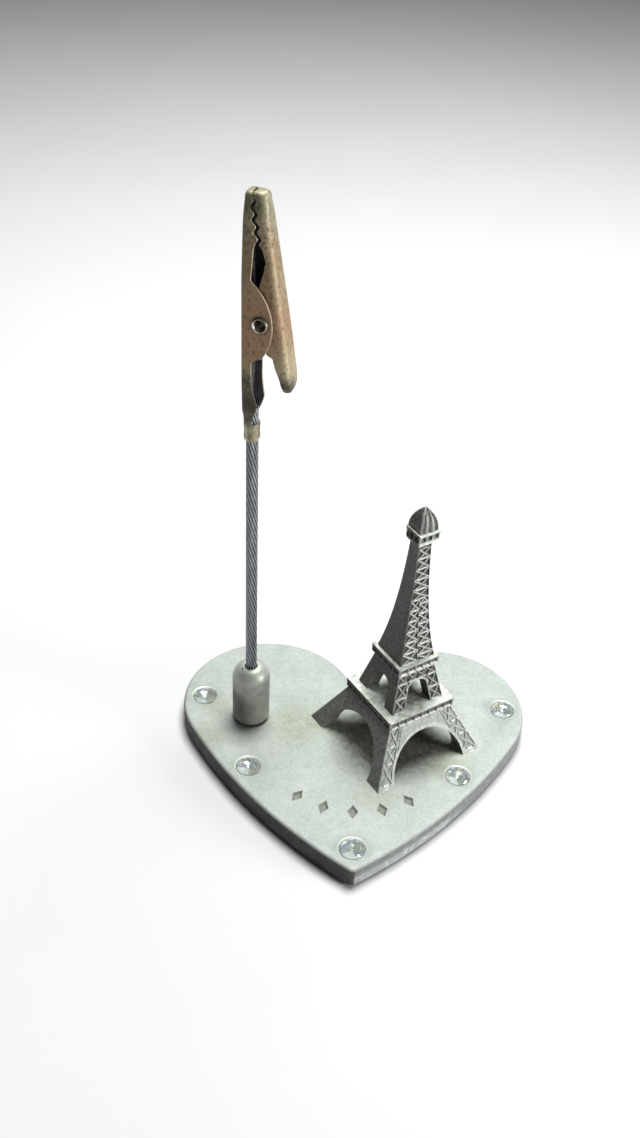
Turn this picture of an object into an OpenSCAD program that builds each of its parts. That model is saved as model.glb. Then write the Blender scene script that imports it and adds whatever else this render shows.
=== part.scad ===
// Table place card holder: a cast heart base that carries a lattice tower,
// and a wire rope stem with a sprung toothed clip that grips the card.
// The viewer's side is -Y, where the heart has its tip. +Z is up.

/* [Heart base] */
// Width of the heart across both lobes
base_w = 54; // [50:0.5:62]
// Length of the heart from the lobe tops to the tip
base_l = 46.8; // [43:0.2:54]
// Thickness of the cast plate
base_t = 3.2; // [2.6:0.1:5]
// How far the two lobe circles run into each other
lobe_overlap = 0.22; // [0.1:0.02:2]
// Radius of the bowed side from lobe to tip
side_r = 81.6; // [60:0.2:200]
// Rounding of the tip in plan
tip_r = 1; // [0.7:0.1:2]
// Rounding of the cleft between the lobes in plan
cleft_r = 0.8; // [0.4:0.1:2]
// Rounding of the top edge
edge_r = 0.6; // [0.2:0.05:0.65]

/* [Base pad] */
// Thickness of the pad under the base
pad_t = 0.5; // [0.4:0.05:1]
// Depth of the recess that holds the pad
pad_recess = 0.3; // [0.1:0.05:0.35]
// Width of the bare rim round the pad
pad_inset = 1.5; // [1:0.1:3]
// Gap round the pad in its recess
pad_gap = 0.1; // [0.05:0.05:0.3]

/* [Stones] */
// Diameter of each stone
stone_d = 3.6; // [2.5:0.1:4.4]
// Height of each stone from its flat back to its table
stone_h = 1.35; // [0.9:0.05:1.8]
// Gap between a stone and the wall of its pocket
stone_gap = 0.22; // [0.05:0.01:0.4]
// Depth of the pockets
pocket_depth = 0.6; // [0.3:0.05:0.8]
// Distance from the heart's edge to the middle of each stone
stone_inset = 3.33; // [3:0.05:4.5]

/* [Engraved arc] */
// Height of each engraved lozenge
lozenge_h = 2.7; // [1.5:0.1:3.2]
// Width of each engraved lozenge
lozenge_w = 1.7; // [1:0.1:2.6]
// Depth of the engraving
engrave_depth = 0.3; // [0.1:0.05:0.6]
// Radius of the arc that the lozenges lie on
engrave_r = 14.2; // [13:0.1:16]
// Distance from the middle of the heart back to the middle of that arc
engrave_y = 1.4; // [0.5:0.1:3]
// Angle between neighbouring lozenges
engrave_step = 17.5; // [12:0.5:20]

/* [Tower] */
// Width of the tower across its feet
tower_w = 18.8; // [17:0.1:21]
// Distance of the tower's axis to the right of the heart's middle
tower_x = 6.9; // [5:0.1:8]
// Distance of the tower's axis behind the heart's middle
tower_y = 3.8; // [3:0.1:6]
// Turn of the tower seen from above, with one corner to the viewer
tower_turn = 33.5; // [30:0.5:60]
// Width of each foot on a face of the tower
foot_w = 3.05; // [2.4:0.05:3.6]
// Height of the arches between the feet
arch_h = 6.1; // [5:0.1:6.8]
// Width of the first deck
deck1_w = 11.7; // [10.5:0.1:13]
// Height of the top of the first deck above the base
deck1_z = 9.4; // [8.4:0.1:10.5]
// Thickness of the first deck's slab
deck1_t = 0.75; // [0.5:0.05:0.9]
// Width of the second deck
deck2_w = 7.2; // [6.4:0.1:8]
// Height of the top of the second deck above the base
deck2_z = 17.1; // [15.6:0.1:18]
// Thickness of the second deck's slab
deck2_t = 0.65; // [0.4:0.05:0.8]
// Width of the shaft where it stands on the second deck
shaft_w = 6.3; // [5.6:0.1:6.8]
// Width of the shaft under the gallery
shaft_top_w = 2.1; // [1.8:0.1:3]
// Width of the gallery at the top of the shaft
gallery_w = 3.7; // [3.2:0.05:4.2]
// Height of the gallery
gallery_h = 2; // [1.4:0.1:2.4]
// Height of the top of the gallery above the base
gallery_z = 39.2; // [36:0.1:42]
// Height of the cupola on the gallery
cupola_h = 3.3; // [2.6:0.1:4]
// Width of each archway of the middle stage at its foot
window_foot_w = 4.7; // [3.6:0.1:5.2]
// Width of each archway of the middle stage where its arch starts
window_w = 3.4; // [2.4:0.1:3.8]
// Height of each archway of the middle stage
window_h = 4.4; // [3.4:0.1:4.8]
// Diameter of the locating peg under each foot
peg_d = 1.2; // [0.8:0.1:1.6]
// Length of the locating pegs
peg_l = 1.4; // [1:0.1:1.9]

/* [Stem] */
// Diameter of the wire rope
rope_d = 1.7; // [1.4:0.05:2.2]
// Height of the clip's lower end above the base
clip_z = 50.5; // [45:0.5:56]
// Distance of the stem outside the middle of the left lobe
stem_out = 2.7; // [0:0.1:4]
// Distance of the stem in front of the middle of the lobes
stem_front = 3.8; // [0:0.1:4]
// Diameter of the socket that the stem stands in
socket_d = 5.7; // [5:0.1:7]
// Height of the socket
socket_h = 10.5; // [9.5:0.1:12]
// Height of the socket's domed top
dome_h = 2.3; // [1.5:0.1:3.2]
// Depth of the rope's hole in the socket
rope_depth = 5.6; // [4:0.1:6]
// Diameter of the screw's thread
screw_d = 2.5; // [2:0.1:3]
// How far the screw reaches into the socket
screw_grip = 3; // [2:0.1:3.4]
// Diameter of the screw's head
screw_head_d = 4.5; // [4:0.1:5]
// Height of the screw's head
screw_head_h = 1.3; // [1:0.1:1.4]

/* [Clip] */
// Length of the clip from the crimp's lower end to the nose
clip_l = 33.3; // [32.4:0.1:36]
// Turn of the clip about the stem, seen from above
clip_turn = -16; // [-60:1:60]
// Thickness of the clip's sheet metal
sheet = 0.28; // [0.22:0.02:0.34]
// Width of the clip across its ears
clip_w = 4.5; // [4.3:0.1:5.2]
// Width of the clip across its nose
nose_w = 3; // [2.4:0.1:3.4]
// Length of the crimp barrel round the rope
crimp_l = 2.6; // [2:0.1:3.4]
// How far the rope stands out above the crimp barrel
rope_end = 2.2; // [1:0.1:2.6]
// Height above the crimp's lower end where the clip reaches its full width
neck_v = 9; // [8.6:0.1:10]
// Distance of the clip's straight back from the rope's axis
back_u = 0.85; // [0.75:0.05:1]
// Depth of the lower cheeks in front of the rope's axis
cheek_u = 0.6; // [0.45:0.05:0.8]
// Distance of the pivot from the rope's axis
pivot_u = 1.7; // [1.6:0.02:1.9]
// Height of the pivot above the crimp's lower end
pivot_v = 17.5; // [17:0.1:18.2]
// How far the ear reaches past the pivot
ear_reach = 1.6; // [1.5:0.02:1.8]
// Radius of the ear's curved edge
ear_r = 7.3; // [6.8:0.1:8]
// How far the middle of that curve lies below the pivot
ear_drop = 0.3; // [0:0.05:0.6]
// Distance of the lever's outer face from the rope's axis
lever_u = 5.6; // [5.4:0.05:6]
// Height of the lever's tip above the crimp's lower end
lever_v = 8.2; // [7.8:0.1:8.8]
// Length of the lever's rounded tongue
tongue_l = 1.8; // [1.2:0.1:2.4]
// Depth of the fixed jaw's nose in front of the rope's axis
nose_u = 0.25; // [0.15:0.05:0.4]
// Depth of the moving jaw's nose
nose_depth = 1.7; // [1.5:0.05:2]
// Number of teeth on each jaw
teeth = 4; // [3:1:6]
// Depth of the teeth
tooth_depth = 0.4; // [0.25:0.01:0.5]
// Gap between the two rows of teeth
tooth_gap = 0.3; // [0.2:0.01:0.4]
// Height of the whole row of teeth
tooth_row = 5.7; // [5:0.1:6.2]
// Angle of the row of teeth to the clip's back
tooth_lean = 10.5; // [8:0.5:12]

/* [Pivot and spring] */
// Outer diameter of the tubular rivet
rivet_d = 1.65; // [1.5:0.05:1.9]
// Bore of the tubular rivet
rivet_bore = 1.25; // [1:0.05:1.35]
// Diameter of the rivet's rolled flanges
flange_d = 2.1; // [2:0.05:2.5]
// Thickness of the rivet's rolled flanges
flange_t = 0.25; // [0.2:0.01:0.35]
// Diameter of the spring's wire
spring_wire = 0.4; // [0.3:0.02:0.46]
// Mean radius of the spring's curls
spring_r = 1.25; // [1.2:0.02:1.4]
// Length of the spring's arms below the pivot
spring_arm = 6.6; // [5:0.1:7]

/* [Clearances] */
// Running gap on a radius or beside a cheek
run_gap = 0.05; // [0.03:0.01:0.08]
// Close gap on a radius of a seated piece
seat_gap = 0.02; // [0.01:0.01:0.05]

/* [Hidden] */
$fn = 64;
over = 1;

// Heights that the base sets
base_z = pad_t - pad_recess;
top_z = base_z + base_t;

// Heart outline: lobes, bowed sides, tip and cleft, all as arcs that run into each other
lobe_x = (base_w / 2 - lobe_overlap) / 2;
lobe_r = (base_w / 2 + lobe_overlap) / 2;
lobe_y = base_l / 2 - lobe_r;
tip_y = tip_r - base_l / 2;
side_c = circle_meet([lobe_x, lobe_y], side_r - lobe_r, [0, tip_y], side_r - tip_r);
side_a0 = atan2(tip_y - side_c[1], -side_c[0]);
side_a1 = atan2(lobe_y - side_c[1], lobe_x - side_c[0]);
cleft_y = lobe_y + sqrt(pow(lobe_r + cleft_r, 2) - pow(lobe_x, 2));
cleft_a = atan2(cleft_y - lobe_y, -lobe_x);

// The left of the two points where circles about p and q meet
function circle_meet(p, rp, q, rq) =
    let (d = norm(q - p), u = (q - p) / d, along = (d * d + rp * rp - rq * rq) / (2 * d),
        off = sqrt(rp * rp - along * along))
    p + along * u + off * [u[1], -u[0]];

// Points of an arc, without its last point
function arc(c, r, a0, a1, n) =
    [for (i = [0 : n - 1]) let (a = a0 + (a1 - a0) * i / n) c + r * [cos(a), sin(a)]];

// Right half of the heart, from the tip to the cleft, drawn in by inset
function heart_half(inset) =
    let (r = max(tip_r - inset, tip_r / 4),
        y = side_c[1] - sqrt(pow(side_r - inset - r, 2) - pow(side_c[0], 2)),
        a = atan2(y - side_c[1], -side_c[0]))
    concat(
        arc([0, y], r, -90, a, 4),
        arc(side_c, side_r - inset, a, side_a1, 8),
        arc([lobe_x, lobe_y], lobe_r - inset, side_a1, cleft_a, 22),
        arc([0, cleft_y], cleft_r + inset, cleft_a - 180, -90, 4),
        [[0, cleft_y - cleft_r - inset]]);

function heart(inset) =
    let (half = heart_half(inset), last = len(half) - 1)
    concat(half, [for (i = [last - 1 : -1 : 1]) [-half[i][0], half[i][1]]]);

function at_height(points, z) = [for (p = points) [p[0], p[1], z]];

function square_ring(w, z) = [[-w, -w, z * 2], [w, -w, z * 2], [w, w, z * 2], [-w, w, z * 2]] / 2;

// Skin over rings of equal count, lowest ring first, closed at both ends
module loft(rings) {
    n = len(rings[0]);
    m = len(rings);
    sides = [for (k = [0 : m - 2], i = [0 : n - 1])
        let (a = k * n + i, b = k * n + (i + 1) % n)
        each [[a, a + n, b + n], [a, b + n, b]]];
    polyhedron(
        points = [for (r = rings) each r],
        faces = concat([[for (i = [0 : n - 1]) i]], sides,
            [[for (i = [n - 1 : -1 : 0]) (m - 1) * n + i]]));
}

// Places of the stones: beside the lobes, along the bowed sides and at the tip
front_stone_share = 0.667;
stone_a = side_a0 + (side_a1 - side_a0) * front_stone_share;
stone_rear = [lobe_x + lobe_r - stone_inset, lobe_y];
stone_front = side_c + (side_r - stone_inset) * [cos(stone_a), sin(stone_a)];
stone_tip_y = side_c[1] - sqrt(pow(side_r - stone_inset, 2) - pow(side_c[0], 2));
stone_places = [[-stone_rear[0], stone_rear[1]], [-stone_front[0], stone_front[1]],
    [0, stone_tip_y], stone_front, stone_rear];
pocket_z = top_z - pocket_depth;

// Places of the stem and of the screw under it
stem_xy = [-lobe_x - stem_out, lobe_y - stem_front];
head_z = base_z + pad_recess + seat_gap;
screw_web_z = head_z + screw_head_h;

// Tower: pegs stand under the middle of each foot
peg_off = tower_w / 2 - foot_w / 2;
arch_half = tower_w / 2 - foot_w;
arch_r = (arch_half * arch_half + arch_h * arch_h) / (2 * arch_h);
stage1_top_w = deck1_w - 2 * deck1_t;
stage2_w = deck1_w - 3 * deck1_t;
stage2_top_w = deck2_w - 2 * deck2_t;
shaft_z = gallery_z - gallery_h;
shaft_levels = 8;
shaft_curve = 2.03;
window_rise = 0.35 * window_w;

module base_plate() {
    color("silver")
    difference() {
        union() {
            translate([0, 0, base_z]) linear_extrude(base_t - edge_r) polygon(heart(0));
            loft([for (a = [0 : 30 : 90])
                at_height(heart(edge_r * (1 - cos(a))), top_z - edge_r + edge_r * sin(a))]);
        }
        translate([0, 0, base_z - over]) linear_extrude(pad_recess + over)
            polygon(heart(pad_inset - pad_gap));
        for (p = stone_places) translate([p[0], p[1], pocket_z])
            cylinder(d = stone_d + 2 * stone_gap, h = pocket_depth + over);
        translate([stem_xy[0], stem_xy[1], 0]) {
            cylinder(d = screw_d + 2 * run_gap, h = top_z + over);
            cylinder(d = screw_head_d + 2 * run_gap, h = screw_web_z);
        }
        on_tower() for (x = [-1, 1], y = [-1, 1])
            translate([x * peg_off, y * peg_off, -peg_l - seat_gap])
                cylinder(d = peg_d + 2 * seat_gap, h = peg_l + seat_gap + over);
        engraving();
    }
}

// Five plain lozenges along an arc in front of the tower
module engraving() {
    translate([0, engrave_y, top_z - engrave_depth])
        for (k = [-2 : 2]) rotate(k * engrave_step) translate([0, -engrave_r, 0])
            linear_extrude(engrave_depth + over)
                polygon([[-lozenge_w, 0] / 2, [0, -lozenge_h] / 2,
                    [lozenge_w, 0] / 2, [0, lozenge_h] / 2]);
}

module base_pad() {
    color("black") linear_extrude(pad_t) polygon(heart(pad_inset));
}

// A flat-backed crystal: girdle band, crown and table
girdle_share = 0.45;
table_share = 0.55;
module stone(place) {
    girdle_h = stone_h * girdle_share;
    translate([place[0], place[1], pocket_z]) color("white") {
        cylinder(d = stone_d, h = girdle_h);
        translate([0, 0, girdle_h])
            cylinder(d1 = stone_d, d2 = stone_d * table_share, h = stone_h - girdle_h, $fn = 10);
    }
}
module stone_left_rear() { stone(stone_places[0]); }
module stone_left_front() { stone(stone_places[1]); }
module stone_tip() { stone(stone_places[2]); }
module stone_right_front() { stone(stone_places[3]); }
module stone_right_rear() { stone(stone_places[4]); }

module on_tower() {
    translate([tower_x, tower_y, top_z]) rotate(tower_turn) children();
}

module block(w, h) {
    translate([-w / 2, -w / 2, 0]) cube([w, w, h]);
}

// Runs what is drawn on one face through the tower both ways
module through(w) {
    for (a = [0, 90]) rotate(a) translate([0, w / 2, 0]) rotate([90, 0, 0])
        linear_extrude(w) children();
}

// A deck: a slab on a band with a row of shallow pockets on each side
pocket_w_share = 0.8;
module deck(w, top, t, pockets) {
    pitch = (w - t) / pockets;
    pocket_w = pitch * pocket_w_share;
    difference() {
        translate([0, 0, top - 2 * t]) block(w, 2 * t);
        for (a = [0 : 90 : 270], i = [0 : pockets - 1]) rotate(a)
            translate([(i - (pockets - 1) / 2) * pitch - pocket_w / 2, -w / 2 - over, top - 3 / 2 * t])
                cube([pocket_w, over + t / 3, t]);
    }
}

module legs() {
    difference() {
        loft([square_ring(tower_w, 0), square_ring(stage1_top_w, deck1_z - deck1_t)]);
        translate([0, 0, arch_h - arch_r]) through(tower_w + over) circle(arch_r);
    }
    for (x = [-1, 1], y = [-1, 1]) translate([x * peg_off, y * peg_off, -peg_l])
        cylinder(d = peg_d, h = peg_l + seat_gap);
}

// An archway of the middle stage: its sides lean in up to a low arch
function archway() = concat(
    [[-window_foot_w / 2, 0], [window_foot_w / 2, 0]],
    [for (a = [0 : 15 : 180])
        [window_w / 2 * cos(a), window_h - window_rise + window_rise * sin(a)]]);

module middle_stage() {
    difference() {
        loft([square_ring(stage2_w, deck1_z - deck1_t), square_ring(stage2_top_w, deck2_z - deck2_t)]);
        translate([0, 0, deck1_z]) through(tower_w) polygon(archway());
    }
}

function shaft_width(s) = shaft_top_w
    + (shaft_w - shaft_top_w) * (exp(-shaft_curve * s) - exp(-shaft_curve)) / (1 - exp(-shaft_curve));

module shaft() {
    loft([for (i = [0 : shaft_levels]) let (s = i / shaft_levels)
        square_ring(shaft_width(s), deck2_z - deck2_t + (shaft_z - deck2_z + 2 * deck2_t) * s)]);
}

recess_share = 0.22;
recess_pitch_share = 0.28;
module gallery() {
    recess = gallery_w * recess_share;
    pitch = gallery_w * recess_pitch_share;
    difference() {
        translate([0, 0, shaft_z]) block(gallery_w, gallery_h);
        for (a = [0 : 90 : 270], i = [-1 : 1]) rotate(a)
            translate([i * pitch - recess / 2, -gallery_w / 2 - over, shaft_z + gallery_h / 5])
                cube([recess, over + recess / 3, gallery_h * 3 / 5]);
    }
}

cupola_steps = 5;
cupola_foot_share = 0.84;
function cupola_width(s) = gallery_w * cupola_foot_share * cos(82 * s);
module cupola() {
    loft([for (i = [0 : cupola_steps]) let (s = i / cupola_steps)
        square_ring(cupola_width(s), gallery_z + cupola_h * s)]);
}

module tower() {
    color("gray") on_tower() {
        legs();
        deck(deck1_w, deck1_z, deck1_t, 8);
        middle_stage();
        deck(deck2_w, deck2_z, deck2_t, 5);
        shaft();
        gallery();
        cupola();
    }
}

// Socket: a round body with a domed top, a slight undercut at its foot, the rope's hole
// from above and the screw's hole from below
foot_share = 0.9;
rim_share = 0.36;
module stem_socket() {
    r = socket_d / 2;
    rim = r * rim_share;
    undercut = r * (1 - foot_share);
    color("darkgray") translate([stem_xy[0], stem_xy[1], top_z]) difference() {
        rotate_extrude() polygon(concat(
            [[0, 0], [r - undercut, 0], [r - undercut, undercut], [r, 2 * undercut]],
            [for (a = [0 : 10 : 90])
                [rim + (r - rim) * cos(a), socket_h - dome_h + dome_h * sin(a)]],
            [[0, socket_h]]));
        translate([0, 0, socket_h - rope_depth]) cylinder(d = rope_d + 2 * seat_gap, h = rope_depth + over);
        translate([0, 0, -over]) cylinder(d = screw_d + 2 * seat_gap, h = over + screw_grip + run_gap);
    }
}

slot_share = 0.2;
module socket_screw() {
    slot = screw_head_d * slot_share;
    color("gray") translate([stem_xy[0], stem_xy[1], head_z]) difference() {
        union() {
            cylinder(d = screw_head_d, h = screw_head_h);
            cylinder(d = screw_d, h = top_z - head_z + screw_grip);
        }
        for (a = [0, 90]) rotate(a) translate([-screw_head_d / 4, -slot / 2, -over])
            cube([screw_head_d / 2, slot, over + screw_head_h / 2]);
    }
}

module stem_rope() {
    foot = top_z + socket_h - rope_depth;
    color("lightsteelblue") translate([stem_xy[0], stem_xy[1], foot])
        cylinder(d = rope_d, h = top_z + clip_z + crimp_l + rope_end - foot);
}

// Clip frame: u runs from the clip's back to its lever, v runs up the clip from the
// lower end of the crimp, and y runs across it
module on_clip() {
    translate([stem_xy[0], stem_xy[1], top_z + clip_z]) rotate(clip_turn) children();
}

// A side outline in u and v, drawn through the clip's whole width
module across(w) {
    translate([0, w / 2, 0]) rotate([90, 0, 0]) linear_extrude(w) children();
}

// A front outline in y and v, drawn through the clip's whole depth
module along_u(from, to) {
    translate([from, 0, 0]) rotate([90, 0, 90]) linear_extrude(to - from) children();
}

// A bent channel: its side outline and front outline, hollowed by its cavity
module channel(side, front, cavity) {
    difference() {
        intersection() {
            across(clip_w + over) polygon(side);
            along_u(-clip_w, 2 * clip_w) polygon(front);
        }
        intersection() {
            across(clip_w + over) polygon(cavity);
            along_u(-2 * clip_w, 3 * clip_w) inner_front(front);
        }
    }
}

// The front outline with each side moved in by one sheet
module inner_front(front) {
    polygon([for (p = front) [p[0] - sign(p[0]) * sheet, p[1]]]);
}

function both_sides(half) =
    concat(half, [for (i = [len(half) - 1 : -1 : 0]) [-half[i][0], half[i][1]]]);

crimp_r = rope_d / 2 + seat_gap + sheet;
crimp_split = 2 * sheet;
rope_top_v = crimp_l + rope_end;
throat_share = 0.42;
throat_v = crimp_l + throat_share * (neck_v - crimp_l);
ear_a0 = -28;
ear_a1 = 52;
ear_c = [pivot_u + ear_reach - ear_r, pivot_v - ear_drop];
knee_v = ear_c[1] + ear_r * sin(ear_a1);
ear_low_v = ear_c[1] + ear_r * sin(ear_a0);
tooth_top = clip_l - sheet;
tooth_low = tooth_top - tooth_row;

// The zigzag between the jaws, moved by shift towards the lever
function tooth_line(shift) = [for (i = [0 : 2 * teeth])
    let (v = tooth_top - tooth_row * i / (2 * teeth), side = i % 2 == 0 ? -1 : 1)
    [nose_u + (tooth_top - v) * tan(tooth_lean) + side * tooth_depth / 2 + shift, v]];

function ear_edge() = [for (i = [0 : 10]) let (a = ear_a1 + (ear_a0 - ear_a1) * i / 10)
    ear_c + ear_r * [cos(a), sin(a)]];

function fixed_side() = concat(
    [[-crimp_r, crimp_l], [-crimp_r, rope_top_v], [-back_u, neck_v], [-back_u, tooth_low],
        [-back_u + sheet / 2, tooth_top - sheet], [-back_u + sheet, clip_l - sheet],
        [-back_u + 2 * sheet, clip_l], [nose_u - tooth_gap / 2, clip_l]],
    tooth_line(-tooth_gap / 2),
    [[cheek_u + sheet / 2, tooth_low - sheet]],
    ear_edge(),
    [[pivot_u + sheet, ear_low_v - 3 * sheet], [pivot_u - 2 * sheet, ear_low_v - 4 * sheet],
        [cheek_u, ear_low_v - 5 * sheet], [cheek_u, neck_v], [crimp_r - sheet / 4, throat_v],
        [crimp_r, crimp_l]]);

function fixed_cavity() = [[sheet - crimp_r, -over], [sheet - crimp_r, rope_top_v],
    [sheet - back_u, neck_v], [sheet - back_u, tooth_low], [3 / 2 * sheet - back_u, tooth_top - sheet],
    [2 * sheet - back_u, clip_l - sheet], [clip_w, clip_l - sheet], [clip_w, -over]];

function fixed_front() = both_sides([[crimp_r, crimp_l], [crimp_r, crimp_l + 2 * sheet],
    [clip_w / 2, neck_v], [clip_w / 2, knee_v], [nose_w / 2, clip_l]]);

module rivet_hole(gap) {
    translate([pivot_u, clip_w, pivot_v]) rotate([90, 0, 0])
        cylinder(d = rivet_d + 2 * gap, h = 2 * clip_w);
}

module jaw_fixed() {
    color("darkkhaki") on_clip() difference() {
        union() {
            channel(fixed_side(), fixed_front(), fixed_cavity());
            cylinder(r = crimp_r, h = crimp_l);
        }
        translate([0, 0, -over]) cylinder(d = rope_d + 2 * seat_gap, h = over + rope_top_v);
        translate([0, -crimp_split / 2, -over]) cube([clip_w, crimp_split, over + crimp_l + over]);
        rivet_hole(seat_gap);
    }
}

// Moving jaw: it is narrower, so that its cheeks turn inside the ears of the fixed jaw
moving_w = clip_w - 2 * sheet - 2 * run_gap;
hub_r = rivet_d / 2 + 2 * sheet;
web_top = [nose_u + nose_depth, tooth_top - sheet];
web_bend = [lever_u - 2.4 * sheet, pivot_v - rivet_d * 1.7];
tongue_v = lever_v + tongue_l;
// Lever's free edge, as shares of the lever's reach and of its height below the pivot
lever_edge_shares = [[0.94, 0], [0.89, 0.08], [0.755, 0.235], [0.65, 0.365], [0.575, 0.54],
    [0.43, 0.547]];
// Edge above the hub, as shares of the lever's reach and of the height up to the teeth
window_edge_shares = [[0.21, 0.36], [0.26, 0.5], [0.4, 0.78], [0.31, 0.95]];
// Tongue's outline, as shares of its half width and its length
tongue_shares = [[0.35, 0], [0.62, 0.12], [0.85, 0.4], [1, 1]];

function moving_side() = concat(
    [[nose_u + tooth_gap / 2, clip_l], [web_top[0] - 3 * sheet, clip_l],
        [web_top[0] - sheet, clip_l - sheet / 2], web_top, web_bend, [lever_u, tongue_v],
        [lever_u, lever_v + sheet]],
    [for (s = lever_edge_shares) [s[0] * lever_u, lever_v + s[1] * (pivot_v - lever_v)]],
    arc([pivot_u, pivot_v], hub_r, -60, -220, 10),
    [for (s = window_edge_shares) [s[0] * lever_u, pivot_v + s[1] * (tooth_low - pivot_v)]],
    [for (i = [2 * teeth : -1 : 0]) tooth_line(tooth_gap / 2)[i]]);

function moving_cavity() = [[-clip_w, clip_l - sheet], [web_top[0] - 2 * sheet, clip_l - sheet],
    web_top - [sheet, 0], web_bend - [sheet, 0], [lever_u - sheet, tongue_v],
    [lever_u - sheet, lever_v - over], [-clip_w, lever_v - over]];

function moving_front() = both_sides(concat(
    [for (s = tongue_shares) [s[0] * moving_w / 2, lever_v + s[1] * tongue_l]],
    [[moving_w / 2, pivot_v + hub_r], [nose_w / 2, clip_l]]));

module jaw_moving() {
    color("tan") on_clip() difference() {
        channel(moving_side(), moving_front(), moving_cavity());
        rivet_hole(run_gap);
    }
}

// A tubular rivet with a rolled flange outside each ear
module rivet() {
    half = clip_w / 2;
    color("gold") on_clip() translate([pivot_u, 0, pivot_v]) rotate([90, 0, 0]) rotate_extrude()
        polygon([[rivet_bore / 2, -half - flange_t], [flange_d / 2, -half - flange_t],
            [flange_d / 2, -half], [rivet_d / 2, -half], [rivet_d / 2, half], [flange_d / 2, half],
            [flange_d / 2, half + flange_t], [rivet_bore / 2, half + flange_t]]);
}

// Torsion spring: curls round the rivet, one arm on the clip's back, one on the lever
spring_turns = 2.5;
curl_rings = 8;
wire_sides = 6;
spring_span = moving_w - 2 * sheet - spring_wire - 6 * run_gap;
arm_v = pivot_v - spring_arm;
arm_back = [-back_u + sheet + spring_wire / 2 + run_gap, arm_v];
arm_lever = [lever_u - 2.6 * sheet - spring_wire / 2 - run_gap, arm_v];

function curl_point(s) = let (a = 180 - 360 * spring_turns * s)
    [pivot_u + spring_r * cos(a), spring_span * (s - 1 / 2), pivot_v + spring_r * sin(a)];

// A point of an arm, from its end in u and v to the curl it runs into
function arm_point(end, curl, s) =
    [end[0] + (curl[0] - end[0]) * s, curl[1], end[1] + (curl[2] - end[1]) * s];

function spring_path() = concat(
    [for (s = [0 : 2]) arm_point(arm_back, curl_point(0), s / 3)],
    [for (i = [0 : spring_turns * curl_rings]) curl_point(i / (spring_turns * curl_rings))],
    [for (s = [2 : -1 : 0]) arm_point(arm_lever, curl_point(1), s / 3)]);

function unit(v) = v / norm(v);

// A round tube along a path that never runs along y
module tube(path, r, sides) {
    last = len(path) - 1;
    loft([for (i = [0 : last])
        let (t = unit(path[min(i + 1, last)] - path[max(i - 1, 0)]),
            side = unit(cross(t, [0, 1, 0])), up = cross(t, side))
        [for (k = [0 : sides - 1]) let (a = 360 * k / sides)
            path[i] + r * (cos(a) * side + sin(a) * up)]]);
}

module clip_spring() {
    color("gainsboro") on_clip() tube(spring_path(), spring_wire / 2, wire_sides);
}

// Least gap of the spring to itself, between points more than half a turn apart
function least_gap(path, apart) = min([for (i = [0 : len(path) - 1 - apart])
    for (j = [i + apart : len(path) - 1]) norm(path[i] - path[j])]) - spring_wire;
echo(spring_gap = least_gap(spring_path(), curl_rings / 2 + 1));

base_plate();
base_pad();
stone_left_rear();
stone_left_front();
stone_tip();
stone_right_front();
stone_right_rear();
tower();
stem_socket();
socket_screw();
stem_rope();
jaw_fixed();
jaw_moving();
rivet();
clip_spring();
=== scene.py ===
"""Looks of a place card holder: a heart base with stones and a small lattice tower, and a
wire rope stem that ends in a sprung, toothed clip. All sizes are in millimetres."""

import math
import random

import bmesh
import bpy
import numpy as np
from mathutils import Matrix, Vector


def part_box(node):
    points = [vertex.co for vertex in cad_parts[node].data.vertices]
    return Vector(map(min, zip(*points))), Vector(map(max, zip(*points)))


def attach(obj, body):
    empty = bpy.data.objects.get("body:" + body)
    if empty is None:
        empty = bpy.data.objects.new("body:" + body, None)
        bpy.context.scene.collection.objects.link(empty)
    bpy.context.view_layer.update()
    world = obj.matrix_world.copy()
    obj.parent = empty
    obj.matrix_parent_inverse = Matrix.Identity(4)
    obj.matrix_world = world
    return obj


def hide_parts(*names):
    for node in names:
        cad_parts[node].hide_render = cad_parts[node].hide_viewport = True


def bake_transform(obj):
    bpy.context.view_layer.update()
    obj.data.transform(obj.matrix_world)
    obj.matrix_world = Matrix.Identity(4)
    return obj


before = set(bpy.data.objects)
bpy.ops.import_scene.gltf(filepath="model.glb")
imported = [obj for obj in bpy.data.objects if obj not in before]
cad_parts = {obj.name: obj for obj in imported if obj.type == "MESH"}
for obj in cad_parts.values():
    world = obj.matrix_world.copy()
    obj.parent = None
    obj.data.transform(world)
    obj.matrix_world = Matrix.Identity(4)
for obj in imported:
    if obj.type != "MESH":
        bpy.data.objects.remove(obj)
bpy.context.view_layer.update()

MM = 0.001
HOLDER = "holder"
MOVING = "moving_jaw"
SIDES = (-1, 1)
FLOOR_HALF = 3000.0
# How far cutters run on past a face, and how far shapes that meet overlap
OVERRUN, OVERLAP = 1.0, 0.02


def node_box(name):
    """The low and the high corner of a solid."""
    low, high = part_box(name)
    return np.array(low) / MM, np.array(high) / MM


def middle_of(name):
    """The middle of a solid, seen from above."""
    low, high = node_box(name)
    return (low + high)[:2] / 2


# Places that the frame gives
BASE_LOW, BASE_HIGH = node_box("base_plate")
SOCKET_LOW, SOCKET_HIGH = node_box("stem_socket")
ROPE_LOW, ROPE_HIGH = node_box("stem_rope")
TOP_Z = BASE_HIGH[2]
TOWER_TOP = node_box("tower")[1][2]
CLIP_Z = node_box("jaw_fixed")[0][2]
STEM_XY = middle_of("stem_rope")
TOWER_XY = middle_of("tower")
STONES = ("stone_left_rear", "stone_left_front", "stone_tip", "stone_right_front", "stone_right_rear")
STONE_PLACES = [(*middle_of(name), TOP_Z) for name in STONES]

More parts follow.
